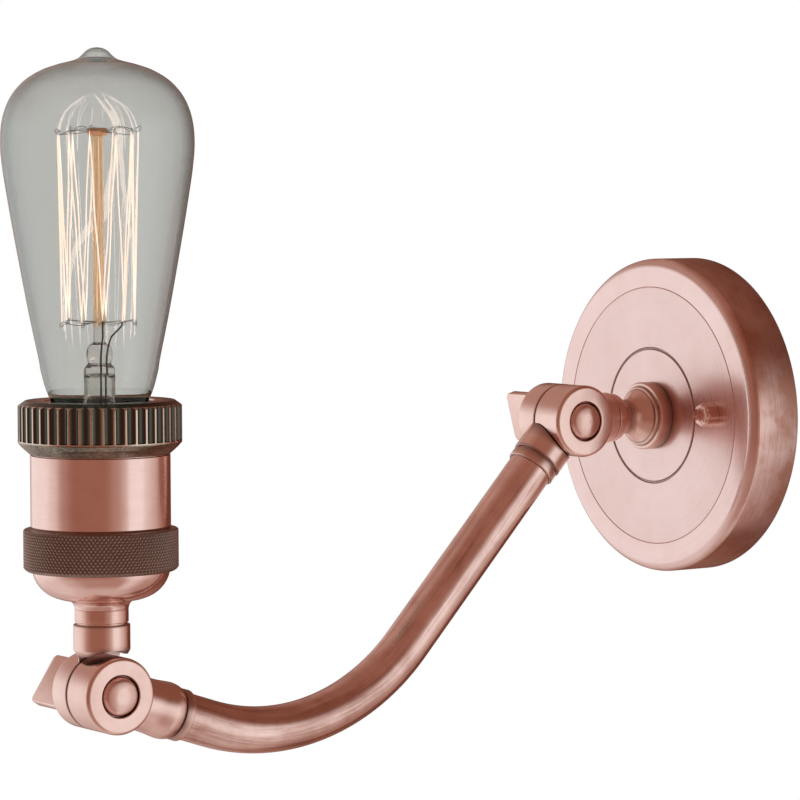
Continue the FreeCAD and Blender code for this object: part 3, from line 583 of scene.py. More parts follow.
def crest_metal(name, valley, crest, low, high, polish, rough_valley):
    """Dark metal whose raised parts are rubbed bright: the crest attribute, broken up by
    noise, runs from valley to crest colour."""
    material, n, shader = start_material(name)
    place = n.place()
    scratch = n.noise(place, 900.0, 4.0, 0.6)
    drift = n.noise(place, 60.0, 3.0, 0.5)
    worn = n.maths("ADD", n.stored("crest"), n.maths("MULTIPLY_ADD", scratch, 0.5, -0.25))
    worn = n.maths("ADD", worn, n.maths("MULTIPLY_ADD", drift, 0.6, -0.3))
    share = n.ramp(worn, low, high)
    n.put(shader.inputs["Metallic"], 1.0)
    n.put(shader.inputs["Base Color"], n.mix(share, valley, crest))
    n.put(shader.inputs["Roughness"], n.ramp(share, 0.0, 1.0, rough_valley, polish))
    n.relief(shader, scratch, 0.00003, 0.4)
    return material


def plain(name, colour, metallic, roughness):
    """Simple finish for a hidden or small piece: its colour and gloss drift with noise."""
    material, n, shader = start_material(name)
    grain = n.ramp(n.noise(n.place(), 400.0, 4.0, 0.6), 0.3, 0.7)
    darker = tuple(0.75 * c for c in colour) + (1.0,)
    n.put(shader.inputs["Base Color"], n.mix(grain, colour + (1.0,), darker))
    n.put(shader.inputs["Roughness"], n.ramp(grain, 0.0, 1.0, roughness, roughness + 0.12))
    n.put(shader.inputs["Metallic"], metallic)
    return material


def clear_glass(name, colour, roughness, ior, rim=None, warm=None):
    """Clear blown glass with a faint tint that drifts a little and deepens towards the
    edges, where more of the wall is looked through, up to the rim colour. Warm is a height
    in metres and the tint from there up."""
    material, n, shader = start_material(name)
    place = n.place()
    deeper = tuple(0.97 * c for c in colour[:3]) + (1.0,)
    tint = n.mix(n.noise(place, 20.0, 2.0, 0.5), colour, deeper)
    if rim:
        facing = n.add("ShaderNodeLayerWeight").outputs["Facing"]
        side = tuple(0.83 * c for c in colour[:3]) + (1.0,)
        tint = n.mix(n.ramp(facing, 0.15, 0.60), tint, side)
        tint = n.mix(n.ramp(facing, 0.55, 0.95), tint, rim)
        cool_sheen = (0.42, 0.58, 0.62, 1.0)
        n.put(shader.inputs["Specular Tint"], n.mix(n.ramp(facing, 0.35, 0.75), WHITE, cool_sheen))
    if warm:
        split = n.add("ShaderNodeSeparateXYZ")
        n.put(split.inputs[0], place)
        tint = n.mix(n.ramp(split.outputs["Z"], warm[0], warm[0] + 0.003), tint, warm[1])
    n.put(shader.inputs["Base Color"], tint)
    for key, value in (("Transmission Weight", 1.0), ("Metallic", 0.0), ("Roughness", roughness),
                       ("IOR", ior)):
        n.put(shader.inputs[key], value)
    return material


def glowing(name, colour, strength, mirror):
    """Hot filament: its glow drifts along the wire, and mirror is what its reflection in the
    glass gains, as a hot wire is far brighter than the picture's white."""
    material, n, shader = start_material(name)
    drift = n.noise(n.stretched(n.place(), 60.0, 60.0, 25.0), 1.0, 2.0, 0.5)
    cooler = (colour[0], colour[1] * 0.86, colour[2] * 0.74, 1.0)
    n.put(shader.inputs["Emission Color"], n.mix(n.ramp(drift, 0.35, 0.65), colour, cooler))
    mirrored = n.add("ShaderNodeLightPath").outputs["Is Reflection Ray"]
    n.put(shader.inputs["Emission Strength"], n.maths("MULTIPLY_ADD", mirrored, mirror, strength))
    n.put(shader.inputs["Base Color"], (0.2, 0.12, 0.08, 1.0))
    return material


COPPER_LIGHT = (0.90, 0.66, 0.60, 1.0)
COPPER_DARK = (0.62, 0.34, 0.27, 1.0)
plate_finish = copper("plate_copper", (0.88, 0.67, 0.64, 1.0), (0.56, 0.29, 0.215, 1.0),
                      patina=0.16, polish=0.19, lines=(1.6, 1.6, 4.0), depth=0.00004)
turned_finish = copper("turned_copper", (0.92, 0.67, 0.60, 1.0), (0.56, 0.29, 0.22, 1.0),
                       patina=0.45, polish=0.13, lines=(1.5, 1.5, 5.0), brushing=0.3)
cast_finish = copper("cast_copper", COPPER_LIGHT, COPPER_DARK, patina=0.35, polish=0.17,
                     lines=(90.0, 90.0, 90.0), brushing=0.2, along="place")
face_finish = copper("face_copper", COPPER_LIGHT, COPPER_DARK, patina=0.45, polish=0.16,
                     lines=(1.5, 1.5, 5.0), brushing=0.2)
tube_finish = copper("tube_copper", (0.95, 0.71, 0.65, 1.0), (0.42, 0.20, 0.15, 1.0),
                     patina=0.50, polish=0.15, lines=(5.0, 5.0, 0.03), brushing=1.2, depth=0.00002)
spun_finish = copper("spun_copper", (0.92, 0.69, 0.64, 1.0), (0.68, 0.40, 0.33, 1.0),
                     patina=0.35, polish=0.12, lines=(0.8, 0.8, 4.0))
ring_finish = crest_metal("fluted_bronze", (0.075, 0.08, 0.065, 1.0), (0.68, 0.56, 0.46, 1.0),
                          low=0.45, high=1.0, polish=0.12, rough_valley=0.22)
band_finish = crest_metal("knurled_copper", (0.17, 0.125, 0.105, 1.0), (0.42, 0.31, 0.27, 1.0),
                          low=0.25, high=1.0, polish=0.34, rough_valley=0.42)
zinc_finish = plain("zinc_steel", (0.62, 0.62, 0.60), 1.0, 0.35)
brass_finish = plain("plain_brass", (0.72, 0.55, 0.26), 1.0, 0.30)
green_finish = plain("ground_green", (0.05, 0.30, 0.09), 0.6, 0.35)
lead_finish = plain("lead_insulation", (0.02, 0.02, 0.02), 0.0, 0.45)
phenolic_finish = plain("socket_insulator", (0.02, 0.016, 0.014), 0.0, 0.40)
shell_metal_finish = plain("shell_metal", (0.75, 0.72, 0.66), 1.0, 0.28)
black_glass_finish = plain("cap_insulator", (0.01, 0.01, 0.012), 0.0, 0.12)
# Near-black, so the lower friction washer stands in for the shade in the lower swivel's split
split_shade_finish = plain("split_shade_dark", (0.03, 0.02, 0.018), 0.6, 0.6)
hub_finish = plain("hub_copper", (0.86, 0.42, 0.22), 0.3, 0.35)
wire_finish = plain("wire_metal", (0.16, 0.14, 0.13), 0.8, 0.4)
bulb_finish = clear_glass("bulb_glass", (0.725, 0.73, 0.71, 1.0), roughness=0.0, ior=1.52,
                          rim=(0.22, 0.23, 0.215, 1.0))
stem_finish = clear_glass("stem_glass", (0.90, 0.89, 0.86, 1.0), roughness=0.02, ior=1.5,
                          warm=(LOWER[2] + 0.121, (0.97, 0.66, 0.40, 1.0)))
filament_finish = glowing("filament_glow", (1.0, 0.83, 0.75, 1.0), strength=1.55, mirror=8.0)


def make_plate():
    """Wall plate: closed outline of a thin cup turned about -Y, with two grooves. Grime and painted shade
    lie in the grooves, and the rim side carries more patina and painted shade that deepens towards the
    wall."""
    face = plate_depth
    inner = face - plate_wall
    skirt = plate_r - plate_wall
    edge = face - plate_bevel_h
    groove_in, groove_out = groove_r - groove_w / 2, groove_r + groove_w / 2
    lines = [
        (hole_r, face, 0.0), (groove_in, face, 0.12), (groove_in + groove_slant, face - groove_deep, 0.1),
        (groove_out - groove_slant, face - groove_deep, 0.1), (groove_out, face, 0.12),
        (rim_groove_r - rim_groove_w / 2, face, 0.05), (rim_groove_r, face - rim_groove_deep, 0.05),
        (rim_groove_r + rim_groove_w / 2, face, 0.05),
        (plate_r - plate_bevel_w, face - plate_crown, 3.5), (plate_r, edge, 3.0),
        (plate_r, 0.0, 0.2), (skirt, 0.0, 0.2), (skirt, inner, 1.3), (hole_r, inner, 0.0)]
    where = basis(WALL, -Y)
    plate = turned("wall_plate", corner_line(lines, 8), where, 256)
    r, _, h = local(plate, where)
    sunk = np.clip((face - h) / 0.3, 0.0, 1.0) * (r < rim_groove_r + 1.0) * (h > inner + 0.1)
    inside = 0.07 * (r < rim_groove_r)
    rim = r > plate_r - 1.0
    # Painted shade on the rim side, deepening towards the wall, stored both as grime and as more patina
    wall_shade = np.clip(1.0 - h / edge, 0.0, 1.0) * rim
    in_groove = sunk * np.where(r < groove_r + 2.0, 0.8, 0.45)
    mark(plate, "grime_and_shade", np.maximum(inside, in_groove) + 0.42 * wall_shade)
    mark(plate, "patina_and_wall_shade", 0.95 * np.clip((face - 0.8 - h) / 2.0, 0.0, 1.0) * rim + 0.3 * wall_shade)
    finished(plate, "wall_base", plate_finish, "plate_copper", "canopy")


def lobes(t, r, h):
    """Cap nut's lobes: the radius dips between them, by the square of half of one less the
    cosine of the turn times their count, all along the side."""
    dip = (0.5 - 0.5 * np.cos(cap_nut_lobes * t)) ** 2
    return -lobe_dip * r * dip


def make_cap_nuts():
    """Two lobed cap nuts, turned about -Y with a radius that dips round the side: one at
    stud_at, counted to the right and up, and one opposite. The right one replaces the node
    of both."""
    low = plate_depth
    top = low + cap_nut_l
    lines = [(0.0, low, 0), (cap_nut_r, low, 0.3), (cap_nut_r, top - 0.3, 1.3),
             (cap_nut_crown_r, top, 1.5), (0.0, top, 0)]
    for side, name, nodes in ((-1, "cap_nut_left", []), (1, "cap_nut_right", ["cap_nuts"])):
        place = side * MM * (stud_at[0] * X + stud_at[1] * Z)
        nut = turned(name, corner_line(lines, 6), basis(place, -Y), 96, lobes)
        finished(nut, "wall_base", turned_finish, "turned_copper", *nodes)


def make_nozzle():
    """Turned spindle about -Y: disc, lip, hollow cove, neck and round bead."""
    disc = plate_depth + disc_h
    lip = disc + lip_h
    neck = plate_depth + neck_h
    end = plate_depth + nozzle_h
    foot = corner_line([(hole_r, plate_depth, 0), (disc_r, plate_depth, 0.2), (disc_r, disc, 1.2),
                        (10.9, disc, 0.25), (10.6, lip, 0.45), (9.95, lip, 0)], 5)
    cove = smooth_line([(9.9, lip), (8.3, lip + 1.8), (6.9, lip + 4.0), (6.25, neck - 0.4),
                        (6.15, neck + 1.2), (6.4, neck + 2.8)], 6)
    bead = smooth_line([(7.2, end - 4.6), (8.4, end - 3.6), (8.85, end - 2.2),
                        (nozzle_end_r, end - 0.9)], 5)
    back = corner_line([(nozzle_end_r, end - 0.5, 0), (nozzle_end_r, end, 0.4), (hole_r, end, 0)], 3)
    where = basis(WALL, -Y)
    spindle = turned("turned_nozzle", np.vstack([foot, cove, bead, back]), where)
    # Grime and painted shade where the disc meets the plate, at the disc and lip steps, in the neck's
    # waist and where the cove meets the bead
    soil_and_shade(spindle, (where, [(disc_r, plate_depth, 1.2, 0.9), (disc_r, disc, 0.4, 0.5),
                           (10.8, disc, 0.6, 0.8), (9.9, lip, 0.5, 0.7), (6.2, neck, 1.8, 0.5),
                           (6.5, neck + 3.0, 1.2, 0.7)]))
    finished(spindle, "wall_base", turned_finish, "turned_copper", "nozzle")


def half_barrel(side, centre):
    """Half barrel about X: round outer edge, fine inner bevel, and a recess on the right."""
    if side > 0:
        floor = barrel_right - recess_deep
        lines = [(0, right_inner, 0), (barrel_r, right_inner, split_edge_r),
                 (barrel_r, right_inner + 1.0, 0), (barrel_r, barrel_right, barrel_edge_r),
                 (recess_r + 1.0, barrel_right, 0), (recess_r + 0.1, barrel_right, 0.3),
                 (recess_r, floor, 0.2), (0, floor, 0)]
    else:
        lines = [(0, left_inner, 0), (barrel_r, left_inner, split_edge_r),
                 (barrel_r, left_inner - 1.0, 0), (barrel_r, barrel_left, barrel_edge_r),
                 (barrel_r - 3.0, barrel_left, 0), (0, barrel_left, 0)]
    return turned("half_barrel", corner_line(lines, 6), basis(centre, X), 160)


def knuckle(name, side, centre, along, stub, clear_r, split, ends):
    """Half swivel: the stub, with the other half's space cut from it, joined to its barrel.
    Clear_r is that space's radius, split the grime and painted shade on the rims of the split, and ends
    are more spots of grime and painted shade along the stub."""
    body = turned(name, stub, basis(centre, along), 144)
    inner = right_inner if side > 0 else left_inner
    far = inner - side * relief_l
    low, high = min(inner, far), max(inner, far)
    outline = [(0, low), (clear_r, low), (clear_r, high), (0, high)]
    body = worked(body, turned("space", outline, basis(centre, X), 160), "DIFFERENCE")
    body = worked(body, half_barrel(side, centre), "UNION")
    body.name = name
    tidy(body, 30.0)
    # Grime and painted shade on the rims of the split and in the bolt's recess
    seams = [(barrel_r, right_inner, 0.5, split), (barrel_r, left_inner, 0.5, split),
             (recess_r, barrel_right - recess_deep, 1.0, 0.8), (recess_r, barrel_right - 1.0, 0.8, 0.45)]
    # Painted shade along the cut face, under the other half
    cut = [(clear_r, inner - side * step, 1.4, 0.9) for step in range(1, 11)]
    return soil_and_shade(body, (basis(centre, X), seams + cut), (basis(centre, along), ends))


def make_swivels():
    """The four knuckle halves with their stubs, each stub turned about its own axis."""
    root = [(0, stub_from, 0), (stub_r, stub_from, 0), (stub_r, stub_side, 0)]
    wall_stub = corner_line(root + [(stub_r, wall_stub_l - 1.2, 0), (stub_r, wall_stub_l, 0.5),
                                    (0, wall_stub_l, 0)], 4)
    # Each half's split and end spots give grime and painted shade
    half = knuckle("swivel_wall_half", 1, UPPER, Y, wall_stub, relief, 0.45,
                   [(stub_r, wall_stub_l, 0.7, 0.8)])
    finished(half, "wall_base", cast_finish, "turned_copper", "upper_knuckle_wall")

    arm_stub = corner_line(root + [(stub_r, arm_stub_l - 1.2, 0), (stub_r, arm_stub_l, 0.6),
                                   (spigot_r, arm_stub_l, 0), (spigot_r, arm_stub_l + spigot_l, 0.5),
                                   (0, arm_stub_l + spigot_l, 0)], 4)
    half = knuckle("swivel_arm_half", -1, UPPER, ARM_OUT, arm_stub, relief, 0.45,
                   [(stub_r, arm_stub_l, 0.8, 0.9)])
    finished(half, "arm", cast_finish, "turned_copper", "upper_knuckle_arm")

    swell = smooth_line([(low_stub_r, 15.5), (9.3, 19.0), (9.65, 22.5), (9.8, 24.8), (9.6, 26.6),
                         (9.1, low_stub_l - 0.2)], 5)
    low_stub = np.vstack([
        [(0, stub_from), (low_stub_r, stub_from)], swell,
        [(collar_r, low_stub_l), (spigot_r, low_stub_l), (spigot_r, low_spigot_end), (0, low_spigot_end)]])
    half = knuckle("lower_swivel_arm_half", 1, LOWER, -ARM_END, low_stub, low_relief, 0.9,
                   [(collar_r, low_stub_l, 1.0, 0.9)])
    finished(half, "arm", cast_finish, "turned_copper", "lower_knuckle_arm")

    stem = corner_line([(0, stub_from, 0), (stem_waist_r, stub_from, 0), (stem_waist_r, 11.9, 2.0),
                        (stem_r, stub_side, 1.2), (stem_r, 16.4, 0), (stem_r, stem_top - 0.8, 0),
                        (stem_r, stem_top, 0.45), (0, stem_top, 0)], 6)
    half = knuckle("lower_swivel_socket_half", -1, LOWER, Z, stem, stem_relief, 0.9,
                   [(stem_r, stem_top, 0.6, 0.9)])
    finished(half, "lampholder", cast_finish, "turned_copper", "lower_knuckle_socket")


def make_bolt(name, centre, body, node):
    """Pivot bolt about X: low domed head and plain shank."""
    seat = barrel_right - recess_deep
    shank = [(0, bolt_tip), (bolt_r - 0.4, bolt_tip), (bolt_r, bolt_tip + 0.4), (bolt_r, seat),
             (bolt_head_r - 0.1, seat)]
    dome = smooth_line([(bolt_head_r - 0.1, seat + 1.3), (6.15, seat + 2.1), (5.6, seat + 2.75),
                        (4.4, seat + 3.2), (2.4, seat + 3.6), (0.0, seat + 3.75)], 6)
    where = basis(centre, X)
    bolt = turned(name, np.vstack([shank, dome]), where, 96)
    # Grime and painted shade round the head's foot, in the gap to its recess
    soil_and_shade(bolt, (where, [(bolt_head_r, seat, 1.2, 0.7), (bolt_head_r, seat + 1.6, 0.5, 0.25)]))
    finished(bolt, body, face_finish, "turned_copper", node)


def make_key(name, centre, tilt, tab_to, body, node):
    """Thumb key: flat tab with rounded corners out to tab_to, tilted by degrees about X and
    joined to a turned hub on the swivel's axis."""
    tab = bmesh.new()
    bmesh.ops.create_cube(tab, size=1.0)
    bmesh.ops.scale(tab, vec=(tab_to - tab_from, tab_thick, tab_wide), verts=tab.verts)
    upright = [e for e in tab.edges if abs((e.verts[0].co - e.verts[1].co).normalized().y) > 0.9]
    bmesh.ops.bevel(tab, geom=upright, offset=tab_corner_r, segments=6, profile=0.5, affect="EDGES")
    rim = [e for e in tab.edges if abs(e.verts[0].co.y - e.verts[1].co.y) < 1e-4]
    bmesh.ops.bevel(tab, geom=rim, offset=tab_edge_r, segments=3, profile=0.5, affect="EDGES")
    place = Matrix.Translation(Vector(centre)) @ Matrix.Rotation(math.radians(tilt), 4, "X")
    middle = Matrix.Translation((-0.5 * (tab_to + tab_from), 0, 0))
    tab.transform(place @ Matrix.Scale(MM, 4) @ middle)
    key = object_of(name, tab)
    hub_line = [(0, hub_face, 0), (hub_r, hub_face, 0.2), (hub_r, hub_end, 0.9), (0, hub_end, 0)]
    key = worked(key, turned("hub", corner_line(hub_line, 5), basis(centre, X), 96), "UNION")
    tidy(key, 35.0)
    finished(key, body, cast_finish, "turned_copper", node)


def make_arm():
    """Arm: tube along a straight run, one round bend about a centre above it and a second
    run, with a turned collar at each end."""
    start = UPPER + MM * arm_stub_l * ARM_OUT
    first = UPPER + MM * upper_run * ARM_OUT
    last = LOWER - MM * lower_run * ARM_END
    end = LOWER - MM * low_stub_l * ARM_END
    rise = np.cross(X, ARM_OUT)
    rise *= math.copysign(1.0, rise[2])
    middle = first + MM * bend_r * rise
    sweep = np.linspace(0.0, upper_slope + lower_slope, 49)[:, None]
    bend = middle + MM * bend_r * (-rise * np.cos(sweep) + ARM_OUT * np.sin(sweep))
    run_in = start + (first - start) * np.linspace(0, 1, 24, endpoint=False)[:, None]
    run_out = last + (end - last) * np.linspace(0, 1, 8)[1:, None]
    tube = piped("bent_tube", np.vstack([run_in, bend, run_out]), X, tube_r, 96, tube_r - tube_wall)
    finished(tube, "arm", tube_finish, "tube_copper", "arm_tube")
    bore_r = tube_r + collar_fit
    for name, centre, along, stub_l, node in (
            ("upper_ring", UPPER, ARM_OUT, arm_stub_l, "upper_collar"),
            ("lower_ring", LOWER, -ARM_END, low_stub_l, "lower_collar")):
        low = stub_l + collar_gap
        high = low + collar_w
        ring = corner_line([(bore_r, low, 0), (collar_r, low, 0.5), (collar_r + 0.1, high, 0.8),
                            (bore_r, high, 0)], 5)
        where = basis(centre, along)
        collar = turned(name, ring, where)
        # Grime and painted shade where each collar meets the stub and the tube
        soil_and_shade(collar, (where, [(collar_r, low, 0.7, 0.9), (tube_r, high, 0.9, 0.9)]))
        finished(collar, "arm", turned_finish, "turned_copper", node)


def knurl(t, r, h):
    """Diamond knurl: pyramids where two families of slanted grooves cross, each a triangle
    wave of turn plus or less climb, with their points cut a little flat; it fades at the
    band's bevels."""
    around = t * knurl_count / (2.0 * math.pi)
    climb = (h - band_low) / knurl_climb
    first = np.abs(((around + climb) % 1.0) * 2.0 - 1.0)
    second = np.abs(((around - climb) % 1.0) * 2.0 - 1.0)
    on_side = np.clip((r - band_r + 0.55) / 0.5, 0.0, 1.0)
    point = 1.35 * np.minimum(1.0 - first, 1.0 - second)
    return -knurl_deep * (1.0 - point).clip(0.0, 1.0) * on_side


def make_band():
    """Knurled band: outline with a bevel at each edge, turned about Z and cut by the knurl."""
    edge = [(band_inner_r, band_low), (band_r - 1.17, band_low), (band_r - 0.57, band_low + 0.4),
            (band_r - 0.17, band_low + 0.9)]
    side = [(band_r, h) for h in np.arange(band_low + 1.1, band_top - 0.65, knurl_row)]
    top = [(band_r - 0.12, band_top - 0.35), (band_r - 0.42, band_top - 0.08),
           (band_r - 0.77, band_top), (band_inner_r, band_top)]
    where = basis(LOWER, Z)
    band = turned("knurled_ring", edge + side + top, where, knurl_count * 8, knurl)
    r, _, h = local(band, where)
    cut = (h > band_low + 1.0) & (h < band_top - 0.6)
    mark(band, "crest", np.where(cut, (r - band_r + knurl_deep) / knurl_deep, 0.55))
    finished(band, "lampholder", band_finish, "knurled_copper", "knurled_band")


def flutes(t, r, h):
    """Hollow flutes between narrow crests: a round cutter along each flute takes the radius
    down to its own floor, so it runs out in the upper bevel, and stops square below."""
    pitch = 2.0 * math.pi / flute_count
    off = ring_r * ((t + 0.5 * pitch) % pitch - 0.5 * pitch)
    centre = ring_r + flute_r - flute_deep
    inside = np.sqrt(np.clip(flute_r ** 2 - off ** 2, 0.0, None))
    floor = np.where(np.abs(off) < flute_r, centre - inside, ring_r + 1.0)
    start = np.clip((h - flute_low) / flute_run_in + 0.5, 0.0, 1.0)
    return np.minimum(floor - r, 0.0) * start * (r > ring_r - flute_deep - 0.6) * (h < ring_top)


def make_ring():
    """Fluted ring about Z: bevel, fluted side, upper bevel, flat lip with a round mouth. Its
    crest attribute is how far the surface stands above the flutes, with a value of its own
    on the lower bevel, the top and the mouth."""
    lower = corner_line([(ring_foot_r, ring_low, 0), (ring_foot_r + 0.8, ring_low, 0.3),
                         (ring_r - 1.3, ring_low + 2.35, 2.0), (ring_r, ring_bevel_top, 0.5),
                         (ring_r, ring_bevel_top + 0.6, 0)], 4)
    heights = np.concatenate([np.linspace(flute_low - 0.2, flute_low + 0.2, 7),
                              np.linspace(flute_low + 0.5, ring_shoulder - 0.7, 14)])
    side = [(ring_r, h) for h in heights]
    slope = (ring_top_r - ring_r) / (ring_top - ring_shoulder)
    rise = np.linspace(ring_shoulder + 0.15, ring_top - 0.35, 12)
    bevel = [(ring_r, ring_shoulder - 0.2)] + [(ring_r + slope * (h - ring_shoulder), h) for h in rise]
    upper = corner_line([(ring_top_r + 0.35, ring_top - 0.25, 0), (ring_top_r, ring_top, 0.35),
                         (mouth_r, ring_top, 0.5), (mouth_r, mouth_low, 0.2),
                         (ring_foot_r, mouth_low, 0)], 4)
    where = basis(LOWER, Z)
    outline = np.vstack([lower, side, bevel, upper])
    ring = turned("fluted_shade_ring", outline, where, flute_count * 24, flutes)
    r, _, h = local(ring, where)
    smooth_r = np.interp(h, [ring_bevel_top, ring_shoulder, ring_top], [ring_r, ring_r, ring_top_r])
    worn = (r - smooth_r + crest_worn) / crest_worn
    on_top = (h > ring_shoulder + 0.5) | (r < ring_top_r - 0.9)
    worn = np.where(h < ring_bevel_top + 0.4, 0.60, np.where(on_top, 0.12, worn))
    worn = np.where((r < mouth_r + 1.5) & (h > ring_shoulder - 0.6), 1.1, worn)
    mark(ring, "crest", worn)
    finished(ring, "fluted_ring", ring_finish, "fluted_bronze", "shade_ring")


def make_lampholder():
    """Neck ring, bowl and shell of the lampholder, all turned about Z."""
    where = basis(LOWER, Z)
    neck = corner_line([(hole_r, stem_top, 0), (neck_low_r, stem_top, 0.1), (neck_low_r, neck_step, 0.1),
                        (neck_r, neck_step, 0.25), (neck_r, neck_top, 0.35), (hole_r, neck_top, 0)], 4)
    ring = turned("stem_ring", neck, where)
    finished(ring, "lampholder", turned_finish, "turned_copper", "neck_ring")

    outer = smooth_line([(neck_r, neck_top), (9.5, 30.0), (10.9, 31.1), (14.2, 31.85), (17.2, 33.05),
                         (19.5, 34.7), (21.35, 36.9), (22.55, 39.4), (bowl_r, 42.0), (bowl_r, 44.5),
                         (bowl_r, bowl_top)], 6)
    inner = np.array([(bowl_r - bowl_wall, bowl_top), (bowl_r - bowl_wall, 42.0), (21.5, 39.6),
                      (20.4, 37.4), (18.8, 35.5), (16.8, 34.1), (14.0, 32.9), (10.6, 32.1), (8.7, 30.9),
                      (8.2, neck_top + bowl_wall), (hole_r, neck_top + bowl_wall), (hole_r, neck_top)])
    bowl = turned("spun_bowl", np.vstack([outer, inner]), where, 160)
    finished(bowl, "lampholder", spun_finish, "spun_copper", "bowl")

    inside = shell_r - shell_wall
    thread = shell_thread_r - shell_wall
    lip = shell_lip_r - shell_wall
    cup = corner_line([
        (lip, shell_low, 0), (shell_lip_r, shell_low, 0), (shell_lip_r - 0.05, shell_shoulder - 0.9, 0.2),
        (shell_r, shell_shoulder, 0.6), (shell_r, shell_step, 0.25), (shell_thread_r, shell_step, 0.1),
        (shell_thread_r, shell_top, 0.3), (thread, shell_top, 0.2), (thread, shell_step - shell_wall, 0),
        (inside, shell_step - shell_wall, 0), (inside, shell_shoulder + shell_wall, 0),
        (lip, shell_shoulder, 0)], 4)
    shell = turned("socket_cup", cup, where, 160)
    finished(shell, "lampholder", spun_finish, "spun_copper", "socket_shell")


def make_glass():
    """Bulb: one smooth pear outline from skirt to pip, and the same line set in by the wall,
    turned about Z as one closed shell."""
    outer = smooth_line([
        (12.4, 86.0), (12.4, 91.3), (13.6, 94.6), (16.0, 97.5), (17.9, 101.8), (19.5, 107.8),
        (20.2, 112.0), (23.4, 127.7), (27.75, 151.7), (30.4, 167.6), (31.55, 175.5), (32.15, 183.4),
        (31.4, 191.2), (28.9, 198.0), (24.5, 203.45), (18.8, 207.15), (13.0, 209.25), (9.0, 210.25),
        (6.6, 211.05), (5.1, 212.2), (3.7, 213.6), (2.0, 214.55), (0.0, 214.85)], 10)
    outer[:, 0] = outer[:, 0].clip(0.0)
    step = np.gradient(outer, axis=0)
    step /= np.linalg.norm(step, axis=1)[:, None]
    inner = outer + glass_wall * np.stack([-step[:, 1], step[:, 0]], -1)
    inner = inner[inner[:, 0] > 0.05]
    inner[-1, 0] = 0.0
    glass = turned("pear_glass", np.vstack([outer[::-1], inner]), basis(LOWER, Z), 160)
    finished(glass, "bulb", bulb_finish, "bulb_glass", "bulb_glass")


def cage_corner(k):
    """Corner k of the filament's zigzag round the cage, odd ones at the top, as (x, y,
    height) in millimetres; its height strays a little by a sine of k."""
    turn = 2.0 * math.pi * (k + 0.5) / cage_corners
    if k % 2 == 1:
        r = cage_top_r
        height = cage_top + 0.6 * math.sin(2.4 * k)
    else:
        r = cage_low_r
        height = cage_low + 0.5 * math.sin(1.7 * k)
    return np.array([r * math.cos(turn), r * math.sin(turn), height])


def make_filament():
    """Squirrel cage: strands from corner to corner, each with a wander sideways that is one
    sine along it, eased to nothing at both ends."""
    path = []
    for k in range(cage_corners - 1):
        a, b = cage_corner(k), cage_corner(k + 1)
        t = np.linspace(0.0, 1.0, 14, endpoint=False)[:, None]
        side = np.array([-a[1], a[0], 0.0]) / np.hypot(a[0], a[1])
        waves = t * (1.5 + 0.2 * (k % 3)) + 0.37 * k
        wander = strand_wander * np.sin(2.0 * math.pi * waves) * np.sin(math.pi * t)
        path.append(a + (b - a) * t + side * wander)
    path = np.vstack(path + [cage_corner(cage_corners - 1)[None]])
    out = path * np.array([1.0, 1.0, 0.0])
    out /= np.linalg.norm(out, axis=1)[:, None]
    wire = piped("cage_filament", LOWER + MM * path, out, filament_r, 8)
    finished(wire, "bulb", filament_finish, "filament_glow", "filament")


def joined(name, pieces):
    """One object from several closed pieces, smooth but for sharp edges."""
    shape = bmesh.new()
    for piece in pieces:
        shape.from_mesh(piece.data)
        bpy.data.objects.remove(piece, do_unlink=True)
    obj = object_of(name, shape)
    tidy(obj, 60.0)
    return obj


def make_supports():
    """Hooks of the cage and the two lead wires. Each hook's arm starts at its (radius,
    height) on the bead or the rod, runs out on a line with a sag and a bow, both sines, and
    ends in a round curl about the filament."""
    wires = []
    for k in range(1, cage_corners):
        corner = cage_corner(k)
        out = np.array([corner[0], corner[1], 0.0])
        out /= np.linalg.norm(out)
        side = np.cross(Z, out)
        reach = np.hypot(corner[0], corner[1])
        if k % 2 == 1:
            root, start = bead_hook_from
            lift, droop = 1.0, 0.9
        else:
            root, start = rod_hook_from
            lift, droop = -1.0, -0.6
        t = np.linspace(0.0, 1.0, 10)[:, None]
        sag = np.sin(math.pi * t) * droop * (1.0 + 1.3 * math.sin(2.3 * k))
        bow = np.sin(math.pi * t) * 0.9 * math.sin(3.1 * k)
        arm = (out * (root + (reach - 0.5 - root) * t) + Z * (start + (corner[2] - start) * t + sag)
               + side * bow)
        curl_t = np.linspace(0.2, 1.5 * math.pi, 9)[:, None]
        curl_r = 0.75 + 0.25 * math.sin(4.7 * k)
        curl = (out * (reach - 0.05 + curl_r * np.sin(curl_t - 0.6)) + side * 0.16 * curl_t
                + Z * (corner[2] + lift * curl_r * (1 - np.cos(curl_t))))
        wires.append(piped("hook", LOWER + MM * np.vstack([arm, curl]), side, hook_r, 6))
    finished(joined("cage_hooks", wires), "bulb", wire_finish, "wire_metal", "support_wires")

    bent = []
    last_low = cage_corners - 2
    for corner, side in ((cage_corner(0), 1.0), (cage_corner(last_low), -1.0)):
        ends = np.array([(2.4, side * 0.9, 96.0), (2.4, side * 0.9, 113.0), (5.1, side * 1.6, 119.2),
                         (corner[0] * 0.96, corner[1] * 0.96, 122.9), tuple(corner)])
        t = np.linspace(0, 1, 8, endpoint=False)[:, None]
        line = np.vstack([a + (b - a) * t for a, b in zip(ends, ends[1:])] + [ends[-1:]])
        bent.append(piped("lead", LOWER + MM * line, np.array([0.3, 1.0, 0.1]), lead_r, 8))
    finished(joined("bent_leads", bent), "bulb", wire_finish, "wire_metal", "lead_wires")


